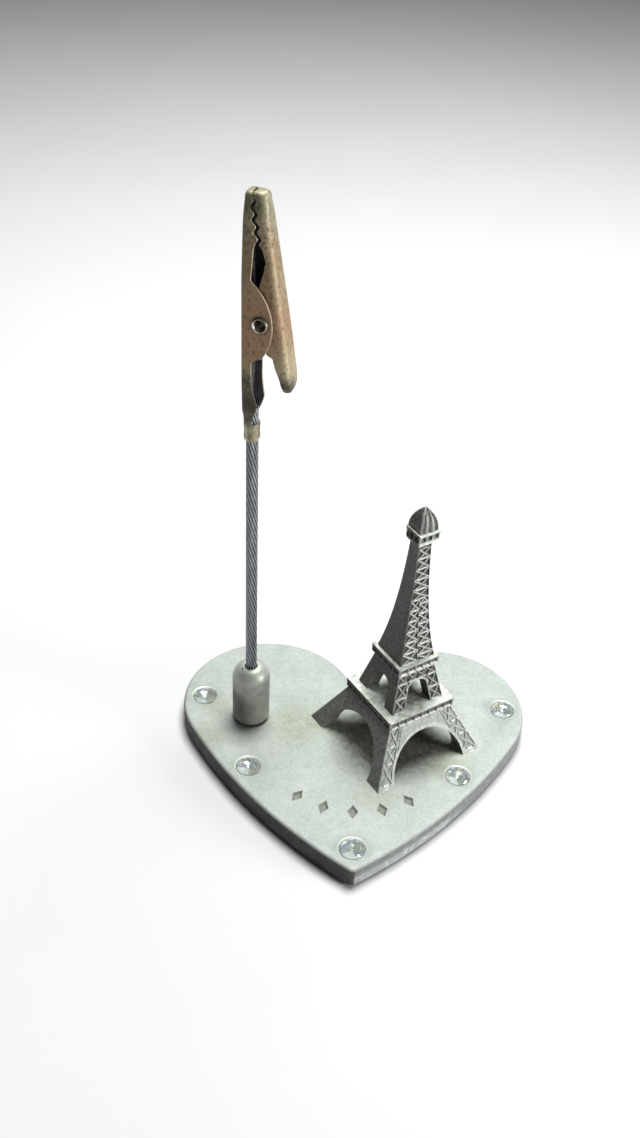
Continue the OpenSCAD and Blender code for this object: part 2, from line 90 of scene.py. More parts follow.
# Heart base
BASE_W, BASE_L = 54.0, 46.8
LOBE_OVERLAP = 0.22
SIDE_R, TIP_R, CLEFT_R = 81.6, 1.0, 0.8
EDGE_R, FOOT_CHAMFER = 0.6, 0.15
PAD_INSET, PAD_RECESS, PAD_GAP = 1.5, 0.3, 0.1
POCKET_DEPTH, POCKET_GAP, POCKET_LIP = 0.6, 0.22, 0.14
STONE_D, STONE_GAP = 3.6, 0.04
LOZENGE_H, LOZENGE_W, LOZENGE_DEPTH, LOZENGE_FLOOR_SHARE = 2.7, 1.7, 0.3, 0.55
ENGRAVE_R, ENGRAVE_Y, ENGRAVE_STEP = 14.2, 1.4, 17.5
# Tarnished places on the top: x, y, reach and depth of colour
TARNISH = ((-9.0, 4.0, 5.5, 0.7), (-4.0, 5.5, 4.0, 0.9), (13.0, -0.5, 6.5, 0.75), (7.0, 6.0, 7.0, 0.8),
           (-22.5, 1.0, 4.0, 0.55), (-21.5, 7.5, 3.5, 0.5), (3.5, -9.5, 4.0, 0.5))
# Middle of a shadow of the tower painted on the top, set to the left and front of the tower
PAINTED_TOWER_SHADOW = (TOWER_XY[0] - 1.5, TOWER_XY[1] - 1.5, TOP_Z)
# Middle of the pale patches low on the wall near the tip: wear, kept to the faces turned right as painted
# light
WALL_WEAR_AND_LIGHT = (5.5, -19.0, 0.0)

# Tower
TOWER_TURN = 33.5
FOOT_HALF, FOOT_W = 9.4, 3.05
ARCH_H = 6.1
DECK1_W, DECK1_Z, DECK1_T, DECK1_POCKETS = 11.7, 9.4, 0.75, 8
DECK2_W, DECK2_Z, DECK2_T, DECK2_POCKETS = 7.2, 17.1, 0.65, 5
ARCHWAY_FOOT_W, ARCHWAY_W, ARCHWAY_H = 4.7, 3.4, 4.4
ARCHWAY_RISE = 0.35 * ARCHWAY_W
SHAFT_W, SHAFT_TOP_W, SHAFT_CURVE = 6.3, 2.1, 2.03
SHAFT_ROWS, SHAFT_DOUBLE_ROWS, SHAFT_NECK = 11, 6, 0.9
GALLERY_W, GALLERY_H, GALLERY_Z = 3.7, 2.0, 39.2
GALLERY_CORNERS = (0.15, 0.75, 0.12, 0.25)
CUPOLA_H, CUPOLA_FOOT_SHARE = 3.3, 0.84
CARVE, LEG_CARVE, BAND_CARVE, GALLERY_CARVE, CUPOLA_CARVE = 0.24, 0.15, 0.2, 0.36, 0.16
CORNER_R, CUPOLA_CORNER_R = 0.14, 0.3
# The rounded ends of the decks and of the gallery, where levels are close
EASE = 0.07
# How bright the plain walls and the corners are rubbed
PLAIN_TINT, CORNER_TINT = 0.03, 0.5
# The casting leans a little to the right
LEAN, LEAN_FROM_Z = 0.0254, 27.0
# Heights of the level bars on the legs of each stage, and a lower leg's face width by height
LOWER_BARS = (0.0, 0.55, 3.2, 5.4, 7.75)
UPPER_BARS = (0.0, 2.2, 4.5, 5.85, 7.2)
LEG_FACE = ((0, 2.75), (2, 2.5), (4.2, 2.3), (7.5, 2.15))

# Stem
SOCKET_R, DOME_H, RIM_SHARE = 2.85, 2.3, 0.36
UNDERCUT, BEAD_R = 0.4, 0.28
# Middle of a painted shade on the left side of the socket
SOCKET_LEFT_SHADE = (STEM_XY[0] - 2.6, STEM_XY[1] - 1.4, SOCKET_LOW[2] + 3.8)
DENT = (STEM_XY[0] - 1.25, STEM_XY[1] - 0.9, SOCKET_HIGH[2] - 0.22)
ROPE_R, ROPE_GAP = 0.85, 0.06
WIRES, LAY_LENGTH = 12, 17.0

# Clip, in its own frame: u from its back to its lever, y across it, v up it
CLIP_TURN = -16.0
CLIP_L, SHEET = 33.3, 0.28
CLIP_W, NOSE_W, NOSE_TOP_W = 4.5, 3.0, 2.1
CRIMP_L, CRIMP_R, ROPE_END = 2.6, ROPE_R + 0.02 + SHEET, 2.2
CRIMP_SPLIT, NOTCH_SPLIT, NOTCH_U, NOTCH_H = 15.0, 72.0, 0.35, 0.14
SPREAD_L, SPREAD_TOP = 2.2, 2.4
NECK_V, BACK_U, CHEEK_U = 9.0, 0.85, 0.6
PIVOT_U, PIVOT_V = 1.7, 17.5
EAR_C, EAR_R = np.array([PIVOT_U - 5.7, PIVOT_V - 0.3]), 7.3
CHEEK_EXTRA = 0.55
LEVER_U, LEVER_V, LEVER_TIP_L, TONGUE_L = 5.6, 8.2, 1.5, 1.8
NOSE_U, NOSE_DEPTH, NOSE_ROUND, NOSE_SLIT, EDGE_SHARE = 0.25, 1.7, 0.65, 0.1, 0.1
TEETH, TOOTH_DEPTH, TOOTH_GAP, TOOTH_ROW, TOOTH_LEAN = 4, 0.42, 0.42, 5.7, 10.5
TOOTH_TOP = CLIP_L - SHEET
TOOTH_LOW = TOOTH_TOP - TOOTH_ROW
BEND_R, LEVER_BEND_R, LEAST_BEND_R = 0.6, 0.95, 0.08
RUN_GAP, RIM = 0.05, 0.07
RIVET_D, RIVET_BORE, FLANGE_D, FLANGE_T = 1.65, 1.4, 2.1, 0.25
SPRING_WIRE, SPRING_R, SPRING_ARM, SPRING_TURNS = 0.4, 1.25, 6.6, 2.5
# The lever's open edge below and above the hub, as shares of its reach and of the heights there
LEVER_LOW_SHARES = ((0.8, 0.0), (0.81, 0.1), (0.745, 0.235), (0.65, 0.365), (0.575, 0.54), (0.43, 0.56))
LEVER_HIGH_SHARES = ((0.21, 0.36), (0.26, 0.5), (0.4, 0.78), (0.31, 0.95))


# Mesh helpers


def at_height(outline, z):
    return np.column_stack([outline, np.full(len(outline), z)])


def along(place, *stops):
    """A value between stops of (place, value)."""
    return np.interp(place, *zip(*stops))


def polar(radius, degrees):
    """Points (x, y) at a distance and in a direction from the middle."""
    angle = np.radians(degrees)
    return np.stack([radius * np.cos(angle), radius * np.sin(angle)], axis=-1)


def moved(shell, offset, turn=0.0):
    """A shell turned about the z axis and then moved."""
    points, faces = shell
    c, s = polar(1, turn)
    return np.asarray(points) @ np.array([[c, s, 0], [-s, c, 0], [0, 0, 1]]) + np.asarray(offset), faces


def on_clip(shell):
    """From the clip's own frame (u, y, v) to the part's frame."""
    return moved(shell, (*STEM_XY, CLIP_Z), CLIP_TURN)


def clip_place(u, y, v):
    """A place in the part's frame of a point given in the clip's own frame."""
    return tuple(on_clip(([(u, y, v)], []))[0][0])


def loft(rings, closed=False):
    """Quads between rings of equal count, the lowest first. A closed loft joins its last ring
    to its first, and an open one has a face over each end."""
    rings = np.asarray(rings, float)
    count, n = rings.shape[:2]
    faces = []
    for k in range(count if closed else count - 1):
        low, high = k * n, (k + 1) % count * n
        for i in range(n):
            j = (i + 1) % n
            faces.append((low + i, low + j, high + j, high + i))
    if not closed:
        faces.append(tuple(range(n - 1, -1, -1)))
        faces.append(tuple(range((count - 1) * n, count * n)))
    return rings.reshape(-1, 3), faces


def lathe(profile, segments, closed=False):
    """Turns a profile of (radius, height) round the z axis, from the bottom up."""
    angles = np.linspace(0, 360, segments, endpoint=False)
    return loft([at_height(polar(r, angles), z) for r, z in profile], closed)


def tube(path, radius, sides):
    """A round tube along a path, with a face over each end."""
    path = np.asarray(path, float)
    tangents = np.gradient(path, axis=0)
    tangents /= np.linalg.norm(tangents, axis=1)[:, None]
    section = polar(radius, np.linspace(0, 360, sides, endpoint=False))
    side = np.cross(tangents[0], (0.3, 1, 0.2))
    rings = []
    for place, tangent in zip(path, tangents):
        side = side - tangent * side.dot(tangent)
        side /= np.linalg.norm(side)
        rings.append(place + section @ np.array([side, np.cross(tangent, side)]))
    return loft(rings)


class Shells:
    """Closed shells gathered into one mesh, with a value per point that says how raised it is."""

    def __init__(self):
        self.points, self.faces, self.raised, self.count = [], [], [], 0

    def add(self, shell, raised=0.0):
        points, faces = shell
        self.points.append(points)
        self.faces += [tuple(i + self.count for i in face) for face in faces]
        self.raised.append(np.broadcast_to(raised, len(points)))
        self.count += len(points)

    def shell(self):
        return np.concatenate(self.points), self.faces

    def mark(self, obj):
        """Writes the values on a mesh made of these shells."""
        attribute = obj.data.attributes.new("raised", "FLOAT", "POINT")
        attribute.data.foreach_set("value", np.concatenate(self.raised).astype(np.float32))


def new_mesh(name, shell, materials, sharp=35.0):
    points, faces = shell
    mesh = bpy.data.meshes.new(name)
    mesh.from_pydata((np.asarray(points) * MM).tolist(), [], faces)
    for material in materials:
        mesh.materials.append(material)
    mesh.validate()
    finish_mesh(mesh, sharp)
    obj = bpy.data.objects.new(name, mesh)
    bpy.context.scene.collection.objects.link(obj)
    return obj


def finish_mesh(mesh, sharp):
    """Smooth shading with edges kept sharp above an angle."""
    mesh.shade_smooth()
    mesh.set_sharp_from_angle(angle=math.radians(sharp))


def face_outward(mesh, merge=0.0):
    """Turns all faces outward, after merging points that lie closer than merge."""
    bm = bmesh.new()
    bm.from_mesh(mesh)
    if merge:
        bmesh.ops.remove_doubles(bm, verts=bm.verts, dist=merge * MM)
    bmesh.ops.recalc_face_normals(bm, faces=bm.faces)
    bm.to_mesh(mesh)
    bm.free()


def cut(obj, cutters, sharp=35.0):
    """Cuts closed shells out of obj; the walls keep the cutter's material."""
    for cutter in cutters:
        boolean = obj.modifiers.new("cut", "BOOLEAN")
        boolean.object = cutter
        boolean.operation = "DIFFERENCE"
        boolean.solver = "EXACT"
        boolean.material_mode = "TRANSFER"
    mesh = bpy.data.meshes.new_from_object(obj.evaluated_get(bpy.context.evaluated_depsgraph_get()))
    obj.modifiers.clear()
    obj.data = mesh
    finish_mesh(mesh, sharp)
    for cutter in cutters:
        bpy.data.objects.remove(cutter)


def dress(obj, body, node):
    """Puts a visible piece in the place of a solid."""
    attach(obj, body)
    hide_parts(node)


# Places on the clip with a tarnish of their own: copper on the jaws, olive on the lever's end
CLIP_TONES = (
    (clip_place(3.2, -2, PIVOT_V - 1), 8.0, (0.335, 0.21, 0.112)),
    (clip_place(2.0, -2, PIVOT_V + 8), 6.0, (0.33, 0.22, 0.125)),
    (clip_place(0.0, -2.3, PIVOT_V - 1), 7.0, (0.39, 0.235, 0.14)),
    (clip_place(LEVER_U, -1, LEVER_V + 3.6), 4.0, (0.44, 0.375, 0.235)),
)
# Dark brown places, with their reach and depth of colour: the neck above the barrel, the lever's end
CLIP_DARK = (
    (clip_place(0.0, -1.0, CRIMP_L + 2.6), 3.6, 0.95),
    (clip_place(0.0, -2.0, CRIMP_L + 5.2), 3.8, 0.85),
    (clip_place(LEVER_U - 1.2, -1.3, LEVER_V + 0.3), 3.0, 0.95),
)
RIVET_HEADS = [clip_place(PIVOT_U, side * CLIP_W / 2, PIVOT_V) for side in SIDES]
# Places of a painted highlight at the lower left of each rolled head
RIVET_PAINTED_HIGHLIGHT = [clip_place(PIVOT_U - 0.75, side * (CLIP_W + FLANGE_T) / 2, PIVOT_V - 0.5) for side in SIDES]


# Materials


class Look:
    """A material under construction. Noise and places are measured in millimetres."""

    def __init__(self, name, **constants):
        self.material = bpy.data.materials.new(name)
        self.material.use_nodes = True
        self.nodes = self.material.node_tree.nodes
        self.links = self.material.node_tree.links
        self.shader = self.nodes["Principled BSDF"]
        self.coordinates = self.node("ShaderNodeTexCoord").outputs["Object"]
        self.colour = None
        self.set(**constants)

    def node(self, kind, inputs=(), **settings):
        n = self.nodes.new(kind)
        for key, value in settings.items():
            setattr(n, key, value)
        for key, value in dict(inputs).items():
            self.feed(n.inputs[key], value)
        return n

    def feed(self, socket, value):
        """Links a socket or sets its value. A colour is given without its alpha."""
        if isinstance(value, bpy.types.NodeSocket):
            self.links.new(value, socket)
        elif isinstance(value, tuple) and len(value) < len(socket.default_value):
            socket.default_value = (*value, 1)
        else:
            socket.default_value = value

    def set(self, **sockets):
        for name, value in sockets.items():
            self.feed(self.shader.inputs[name.replace("_", " ")], value)

    def place(self, stretch=(1, 1, 1)):
        inputs = {"Vector": self.coordinates, "Scale": tuple(s / MM for s in stretch)}
        return self.node("ShaderNodeMapping", inputs).outputs["Vector"]

    def noise(self, size, detail=3.0, rough=0.55, stretch=(1, 1, 1)):
        inputs = {"Vector": self.place(stretch), "Scale": 1 / size, "Detail": detail, "Roughness": rough}
        return self.node("ShaderNodeTexNoise", inputs).outputs["Fac"]

    def maths(self, operation, a, b):
        return self.node("ShaderNodeMath", {0: a, 1: b}, operation=operation).outputs[0]

    def times(self, a, b):
        return self.maths("MULTIPLY", a, b)

    def mix(self, factor, a, b):
        return self.node("ShaderNodeMix", {0: factor, 6: a, 7: b}, data_type="RGBA").outputs[2]

    def paint(self, mask, tone):
        """Lays a tone over the colour so far."""
        self.colour = self.mix(mask, self.colour, tone)

    def ramp(self, value, *stops):
        """Greys or colours between stops of (position, colour)."""
        n = self.node("ShaderNodeValToRGB", {"Fac": value})
        elements = n.color_ramp.elements
        while len(elements) < len(stops):
            elements.new(0.5)
        for element, (position, colour) in zip(elements, stops):
            element.position = position
            element.color = (*(colour if isinstance(colour, tuple) else (colour,) * 3), 1)
        return n.outputs["Color"]

    def between(self, noise, low, high):
        """From low to high over most of a noise's range."""
        return self.ramp(noise, (0.3, low), (0.7, high))

    def fade(self, value, start, end, full=1.0):
        return self.ramp(value, (start, 0.0), (end, full))

    def facing(self, axis):
        """How far the surface faces along an axis, from -1 to 1."""
        normal = self.node("ShaderNodeNewGeometry").outputs["Normal"]
        return self.node("ShaderNodeSeparateXYZ", {"Vector": normal}).outputs[axis]

    def level(self, top):
        """The height above the table as a share of a top."""
        height = self.node("ShaderNodeSeparateXYZ", {"Vector": self.place()}).outputs[2]
        return self.maths("DIVIDE", height, top)

    def raised(self):
        return self.node("ShaderNodeAttribute", attribute_name="raised").outputs["Fac"]

    def edges(self, full):
        """The edges that wear shows on."""
        return self.fade(self.node("ShaderNodeNewGeometry").outputs["Pointiness"], 0.52, 0.62, full)

    def spot(self, centre, reach, start, end, full, broken=None):
        """A spot round a place: 0 at start, full at end, as shares of the way in from its reach.
        A mask may break it up."""
        inputs = {0: self.place(), 1: centre}
        distance = self.node("ShaderNodeVectorMath", inputs, operation="DISTANCE").outputs["Value"]
        nearness = self.maths("SUBTRACT", 1.0, self.maths("DIVIDE", distance, reach))
        mask = self.fade(nearness, start, end, full)
        return mask if broken is None else self.times(mask, broken)

    def bump(self, height, depth, onto=None):
        inputs = {"Height": height, "Distance": depth * MM, "Strength": 1.0}
        if onto is not None:
            inputs["Normal"] = onto
        return self.node("ShaderNodeBump", inputs).outputs["Normal"]

    def finish(self, rough_by, rough, *reliefs):
        """Sets the colour, a roughness between two values if they are given, and reliefs of
        (height, depth), each on top of the one before."""
        self.set(Base_Color=self.colour)
        if rough:
            self.set(Roughness=self.between(rough_by, *rough))
        normal = None
        for height, depth in reliefs:
            normal = self.bump(height, depth, normal)
        if reliefs:
            self.set(Normal=normal)
        return self.material


def two_tone(name, grain, low, high, rough=(), relief=0.0, stops=(0.3, 0.7), **constants):
    """A material whose colour, roughness and relief all follow one noise, whose size, detail and
    further settings are in grain."""
    look = Look(name, **constants)
    noise = look.noise(*grain)
    look.colour = look.ramp(noise, (stops[0], low), (stops[1], high))
    return look.finish(noise, rough, *([(noise, relief)] if relief else []))


def base_metal():
    """Matt silver plating on a casting: pale and mottled on top, with a painted shadow under the tower and
    painted shade round the stones. Its wall is painted dark as shade and lighter on the faces turned right
    as painted light, with pale worn patches low near the tip that are kept to those faces as painted light.
    """
    look = Look("base_metal", Metallic=0.15, Specular_IOR_Level=0.25)
    grain, clouds, fine = look.noise(0.35, 4, 0.7), look.noise(5.0, 6, 0.65), look.noise(1.0, 5, 0.7)
    patchy, patches = look.noise(0.8, 6, 0.75), look.noise(0.9, 6, 0.75)
    look.colour = look.ramp(clouds, (0.32, (0.395, 0.44, 0.40)), (0.5, (0.455, 0.50, 0.46)),
                            (0.68, (0.51, 0.555, 0.515)))
    look.paint(look.fade(fine, 0.42, 0.72, 0.6), (0.365, 0.405, 0.365))
    look.paint(look.fade(grain, 0.48, 0.72, 0.6), (0.62, 0.66, 0.62))
    look.paint(look.fade(look.noise(0.5, 3), 0.64, 0.76, 0.55), (0.25, 0.275, 0.235))
    broken = look.ramp(patchy, (0.36, 0.15), (0.62, 1.0))
    for x, y, reach, depth in TARNISH:
        look.paint(look.spot((x, y, TOP_Z), reach, 0.0, 0.7, depth, broken), (0.30, 0.315, 0.20))
    # A painted shadow of the tower on the top, broken up a little
    broken = look.ramp(patchy, (0.34, 0.6), (0.6, 1.0))
    look.paint(look.spot(PAINTED_TOWER_SHADOW, 11.0, 0.05, 0.45, 0.85, broken), (0.085, 0.083, 0.07))
    # A darker ring round each stone: painted shade
    for place in STONE_PLACES:
        look.paint(look.spot(place, 3.4, 0.0, 0.35, 0.35), (0.32, 0.36, 0.305))
    top = look.colour

    # The wall's colour, painted dark as shade
    look.colour = look.ramp(look.noise(2.2, 5, 0.65), (0.35, (0.05, 0.047, 0.047)),
                            (0.6, (0.085, 0.082, 0.081)), (0.8, (0.13, 0.128, 0.125)))
    # Faces turned to the right, toward the lamps, are painted lighter as painted light, and the worn patches
    # are kept to them
    right = look.fade(look.facing(0), 0.3, 0.6)
    low = look.ramp(look.level(TOP_Z), (0.42, 1.0), (0.64, 0.0))
    wear_and_painted_light = look.times(look.spot(WALL_WEAR_AND_LIGHT, 18.0, 0.1, 0.5, 1.0, right), low)
    look.paint(look.times(right, look.ramp(fine, (0.35, 0.6), (0.65, 0.95))), (0.235, 0.245, 0.245))
    look.paint(look.times(wear_and_painted_light, look.ramp(patches, (0.4, 0.5), (0.6, 0.9))), (0.43, 0.46, 0.47))
    look.paint(look.times(wear_and_painted_light, look.fade(patches, 0.52, 0.68, 0.8)), (0.68, 0.71, 0.70))
    # The pale top over the wall, whose dark colour is painted shade
    look.paint(look.fade(look.facing(2), 0.3, 0.9), top)
    return look.finish(clouds, (0.58, 0.72), (grain, 0.025), (fine, 0.045))


def engraved_metal():
    """The floor of the engraving, dark with old polish."""
    return two_tone("engraved_metal", (0.3, 4), (0.17, 0.19, 0.155), (0.30, 0.33, 0.275), relief=0.03,
                    Metallic=0.2, Roughness=0.65)


def pocket_metal():
    """The bright lip of the pockets that the stones sit in."""
    return two_tone("pocket_metal", (0.4, 3), (0.44, 0.475, 0.43), (0.64, 0.68, 0.63), (0.35, 0.5), 0.02,
                    Metallic=0.3)


def stone_glass():
    return two_tone("stone_glass", (1.2, 2), (0.97, 1.0, 0.98), (1.0, 1.0, 1.0), (0.01, 0.05),
                    Transmission_Weight=1.0, IOR=1.5)


def stone_foil():
    """The silvered backs of the facets, with a faint rainbow."""
    look = Look("stone_foil", Metallic=0.65)
    look.colour = look.ramp(look.noise(1.1, 1, 0.3), (0.34, (0.93, 0.94, 0.74)), (0.45, (0.78, 0.92, 0.84)),
                            (0.55, (0.90, 0.94, 0.93)), (0.66, (0.72, 0.80, 1.0)))
    return look.finish(look.noise(0.6, 2), (0.1, 0.3))


def stone_painted_highlight():
    """Facets painted near white on the front left of each stone: a painted highlight."""
    return two_tone("stone_painted_highlight", (0.8, 2), (0.88, 0.97, 0.97), (1.0, 1.0, 0.98), (0.12, 0.3),
                    Metallic=0.2)


def tower_metal():
    """Antiqued casting: dark in its hollows, rubbed bright on its ribs and edges, with a painted highlight
    on the deck sills, and its upward faces painted pale as painted light.
    """
    look = Look("tower_metal", Metallic=0.25, Specular_IOR_Level=0.4)
    mottle = look.noise(0.45, 5, 0.7)
    look.colour = look.ramp(mottle, (0.34, (0.03, 0.029, 0.026)), (0.5, (0.075, 0.074, 0.068)),
                            (0.64, (0.16, 0.16, 0.15)))
    look.paint(look.fade(look.noise(2.5, 3), 0.35, 0.65, 0.4), (0.055, 0.052, 0.047))
    band_z = TOP_Z + DECK1_Z - 2 * DECK1_T
    low = look.ramp(look.level(TOWER_TOP), ((band_z - 0.1) / TOWER_TOP, 0.62), (band_z / TOWER_TOP, 0.0))
    look.paint(low, look.ramp(mottle, (0.36, (0.125, 0.13, 0.12)), (0.62, (0.285, 0.295, 0.275))))
    patchy = look.ramp(look.noise(0.7, 3), (0.32, 0.6), (0.62, 1.0))
    # The raised value carries the rubbing, and on the deck sills a painted highlight
    wear = look.times(look.maths("MAXIMUM", look.raised(), look.edges(0.3)), patchy)
    look.paint(wear, look.between(look.noise(0.4, 3), (0.50, 0.53, 0.49), (0.84, 0.87, 0.83)))
    # Upward faces painted pale: painted light from above, with yellowish tarnish in it
    deck = look.ramp(look.noise(0.9, 6, 0.7), (0.36, (0.40, 0.42, 0.33)), (0.5, (0.60, 0.64, 0.58)),
                     (0.64, (0.76, 0.80, 0.75)))
    look.paint(look.fade(look.facing(2), 0.8, 0.97, 0.95), deck)
    return look.finish(mottle, (0.42, 0.6), (mottle, 0.035))


def socket_metal():
    """Satin turned metal with faint marks: its dome painted pale as painted light, painted shade on its left
    side, a warm band low down and its undercut painted near black as painted shade.
    """
    look = Look("socket_metal", Metallic=0.4)
    clouds = look.noise(1.8, 4)
    turned = look.noise(0.5, 3, stretch=(0.4, 0.4, 3.0))
    pits = look.fade(look.noise(0.45, 3), 0.66, 0.78, 0.6)
    height = look.level(SOCKET_HIGH[2])
    cut_top, dark_top, dull_top = [(SOCKET_LOW[2] + UNDERCUT + rise) / SOCKET_HIGH[2]
                                   for rise in (-0.02, 0.12, 1.0)]
    look.colour = look.between(clouds, (0.27, 0.27, 0.24), (0.41, 0.42, 0.385))
    # Upward faces painted paler: painted light from above
    dome = look.between(clouds, (0.40, 0.435, 0.375), (0.52, 0.56, 0.49))
    look.paint(look.fade(look.facing(2), 0.05, 0.5), dome)
    # Painted shade on the left side of the socket
    look.paint(look.spot(SOCKET_LEFT_SHADE, 4.6, 0.15, 0.6, 0.85), (0.075, 0.068, 0.054))
    look.paint(pits, (0.08, 0.075, 0.06))
    look.paint(look.ramp(height, (dark_top, 0.55), (dull_top, 0.0)), (0.42, 0.375, 0.30))
    # The undercut painted near black: painted shade
    look.paint(look.ramp(height, (cut_top, 1.0), (dark_top, 0.0)), (0.04, 0.036, 0.028))
    return look.finish(clouds, (0.42, 0.52), (pits, -0.02), (turned, 0.005))


def rope_steel():
    """Drawn wire, bright on its crowns, painted near black between them as painted shade."""
    look = Look("rope_steel", Metallic=0.7)
    streaks = look.noise(0.5, 3, stretch=(2, 2, 0.15))
    # Near black between the wires: painted shade in the grooves
    look.colour = (0.022, 0.024, 0.03)
    steel = look.between(streaks, (0.17, 0.186, 0.20), (0.38, 0.41, 0.43))
    look.paint(look.fade(look.raised(), 0.35, 0.95), steel)
    return look.finish(streaks, (0.28, 0.42), (streaks, 0.004))


def clip_metal():
    """Tarnished copper-brass sheet: tan, pinkish and olive patches, bright at the rubbed edges."""
    look = Look("clip_metal", Metallic=0.45, Specular_IOR_Level=0.5)
    patches = look.noise(2.2, 6, 0.7, stretch=(1, 1, 0.5))
    clouds = look.noise(1.0, 5, 0.7)
    look.colour = look.ramp(patches, (0.34, (0.20, 0.18, 0.105)), (0.5, (0.33, 0.31, 0.20)),
                            (0.66, (0.44, 0.43, 0.30)))
    broken = look.ramp(clouds, (0.34, 0.45), (0.56, 1.0))
    for place, reach, tone in CLIP_TONES:
        look.paint(look.spot(place, reach, 0.0, 0.55, 0.85, broken), tone)
    look.paint(look.fade(look.noise(0.5, 5, 0.75), 0.5, 0.64, 0.75), (0.09, 0.06, 0.04))
    look.paint(look.fade(look.noise(0.6, 5, 0.75), 0.6, 0.7, 0.5), (0.55, 0.50, 0.38))
    for place in RIVET_HEADS:
        look.paint(look.spot(place, 1.7, 0.15, 0.4, 0.7), (0.07, 0.055, 0.04))
    look.paint(look.edges(0.8), (0.60, 0.58, 0.44))
    broken = look.ramp(clouds, (0.34, 0.75), (0.56, 1.0))
    for place, reach, depth in CLIP_DARK:
        look.paint(look.spot(place, reach, 0.05, 0.5, depth, broken), (0.045, 0.034, 0.022))
    return look.finish(patches, (0.48, 0.62), (look.noise(0.35, 5, 0.7), 0.035))


def clip_inside_shade():
    """The inner faces of the jaws, painted dark grey as painted shade."""
    return two_tone("clip_inside_shade", (0.9, 4, 0.65, (1.5, 1.5, 0.4)), (0.05, 0.047, 0.052), (0.17, 0.16, 0.18),
                    (0.4, 0.6), 0.01, stops=(0.32, 0.66), Metallic=0.5)


def rivet_metal():
    """Brown plating, with a painted highlight on one side of the rolled heads."""
    look = Look("rivet_metal", Metallic=0.8)
    marks = look.noise(0.3, 3)
    look.colour = look.between(marks, (0.20, 0.17, 0.12), (0.38, 0.33, 0.25))
    for place in RIVET_PAINTED_HIGHLIGHT:
        look.paint(look.spot(place, 1.1, 0.1, 0.45, 1.0), (0.92, 0.88, 0.76))
    return look.finish(marks, (0.3, 0.44), (marks, 0.005))


def spring_steel():
    return two_tone("spring_steel", (0.3, 3), (0.14, 0.14, 0.15), (0.3, 0.3, 0.32), (0.3, 0.44), 0.005,
                    Metallic=1.0)


def screw_steel():
    return two_tone("screw_steel", (0.3, 3), (0.4, 0.4, 0.42), (0.6, 0.6, 0.62), (0.25, 0.39), 0.005,
                    Metallic=1.0)


def pad_rubber():
    return two_tone("pad_rubber", (0.25, 3), (0.012, 0.012, 0.012), (0.035, 0.035, 0.033), (0.75, 0.9), 0.03,
                    Specular_IOR_Level=0.3)


# Heart base


def direction(x, y):
    return math.degrees(math.atan2(y, x))


def circle_meet(p, rp, q, rq):
    """One of the two points where circles about p and q meet."""
    p, q = np.array(p), np.array(q)
    d = np.linalg.norm(q - p)
    u = (q - p) / d
    reach = (d * d + rp * rp - rq * rq) / (2 * d)
    return p + reach * u + math.sqrt(rp * rp - reach * reach) * np.array([u[1], -u[0]])


def arc(centre, radius, start, end, steps):
    return np.asarray(centre) + polar(radius, np.linspace(start, end, steps, endpoint=False))


LOBE_X = (BASE_W / 2 - LOBE_OVERLAP) / 2
LOBE_R = (BASE_W / 2 + LOBE_OVERLAP) / 2
LOBE_Y = BASE_L / 2 - LOBE_R
SIDE_C = circle_meet((LOBE_X, LOBE_Y), SIDE_R - LOBE_R, (0, TIP_R - BASE_L / 2), SIDE_R - TIP_R)
SIDE_END = direction(LOBE_X - SIDE_C[0], LOBE_Y - SIDE_C[1])
CLEFT_Y = LOBE_Y + math.sqrt((LOBE_R + CLEFT_R) ** 2 - LOBE_X**2)
LOBE_END = direction(-LOBE_X, CLEFT_Y - LOBE_Y)


def heart(inset):
    """Outline of the heart drawn in by inset, from the tip round the right lobe and back."""
    r = max(TIP_R - inset, TIP_R / 4)
    y = SIDE_C[1] - math.sqrt((SIDE_R - inset - r) ** 2 - SIDE_C[0] ** 2)
    tip_end = direction(-SIDE_C[0], y - SIDE_C[1])
    half = np.concatenate([
        arc((0, y), r, -90, tip_end, 6),
        arc(SIDE_C, SIDE_R - inset, tip_end, SIDE_END, 24),
        arc((LOBE_X, LOBE_Y), LOBE_R - inset, SIDE_END, LOBE_END, 72),
        arc((0, CLEFT_Y), CLEFT_R + inset, LOBE_END - 180, -90, 8),
        [[0, CLEFT_Y - CLEFT_R - inset]],
    ])
    left = half[-2:0:-1] * (-1, 1)
    return np.concatenate([half, left]) * (2 * BASE_HIGH[0] / BASE_W, 1)


def lozenge_cutters(material):
    """Five lozenges with sloped sides, on an arc in front of the tower."""
    cutters = []
    for k in range(-2, 3):
        rings = []
        for share, z in ((LOZENGE_FLOOR_SHARE, -LOZENGE_DEPTH), (1.0, OVERLAP), (1.0, OVERRUN)):
            w, h = LOZENGE_W / 2 * share, LOZENGE_H / 2 * share
            rings.append([(x, y - ENGRAVE_R, z) for x, y in ((w, 0), (0, h), (-w, 0), (0, -h))])
        shell = moved(loft(rings), (0, ENGRAVE_Y, TOP_Z), k * ENGRAVE_STEP)
        cutters.append(new_mesh("lozenge_cutter", shell, [material]))
    return cutters


def pocket_cutters(material):
    """A pocket with a small rounded lip round each stone."""
    r, rim = STONE_D / 2 + STONE_GAP, STONE_D / 2 + POCKET_GAP + POCKET_LIP
    profile = [(r, -POCKET_DEPTH), (r, -0.16), (r + 0.1, -0.05), (rim, 0.01), (rim, OVERRUN)]
    return [new_mesh("pocket_cutter", moved(lathe(profile, 64), place), [material])
            for place in STONE_PLACES]


def make_base():
    z = BASE_LOW[2]
    rings = [
        at_height(heart(PAD_INSET - PAD_GAP), z + PAD_RECESS),
        at_height(heart(PAD_INSET - PAD_GAP), z),
        at_height(heart(FOOT_CHAMFER), z),
        at_height(heart(0), z + FOOT_CHAMFER),
    ]
    for out, up in polar(EDGE_R, np.linspace(0, 90, 8)):
        rings.append(at_height(heart(EDGE_R - out), TOP_Z - EDGE_R + up))
    base = new_mesh("heart_base", loft(rings), [base_metal()])
    cut(base, lozenge_cutters(engraved_metal()) + pocket_cutters(pocket_metal()))
    dress(base, HOLDER, "base_plate")


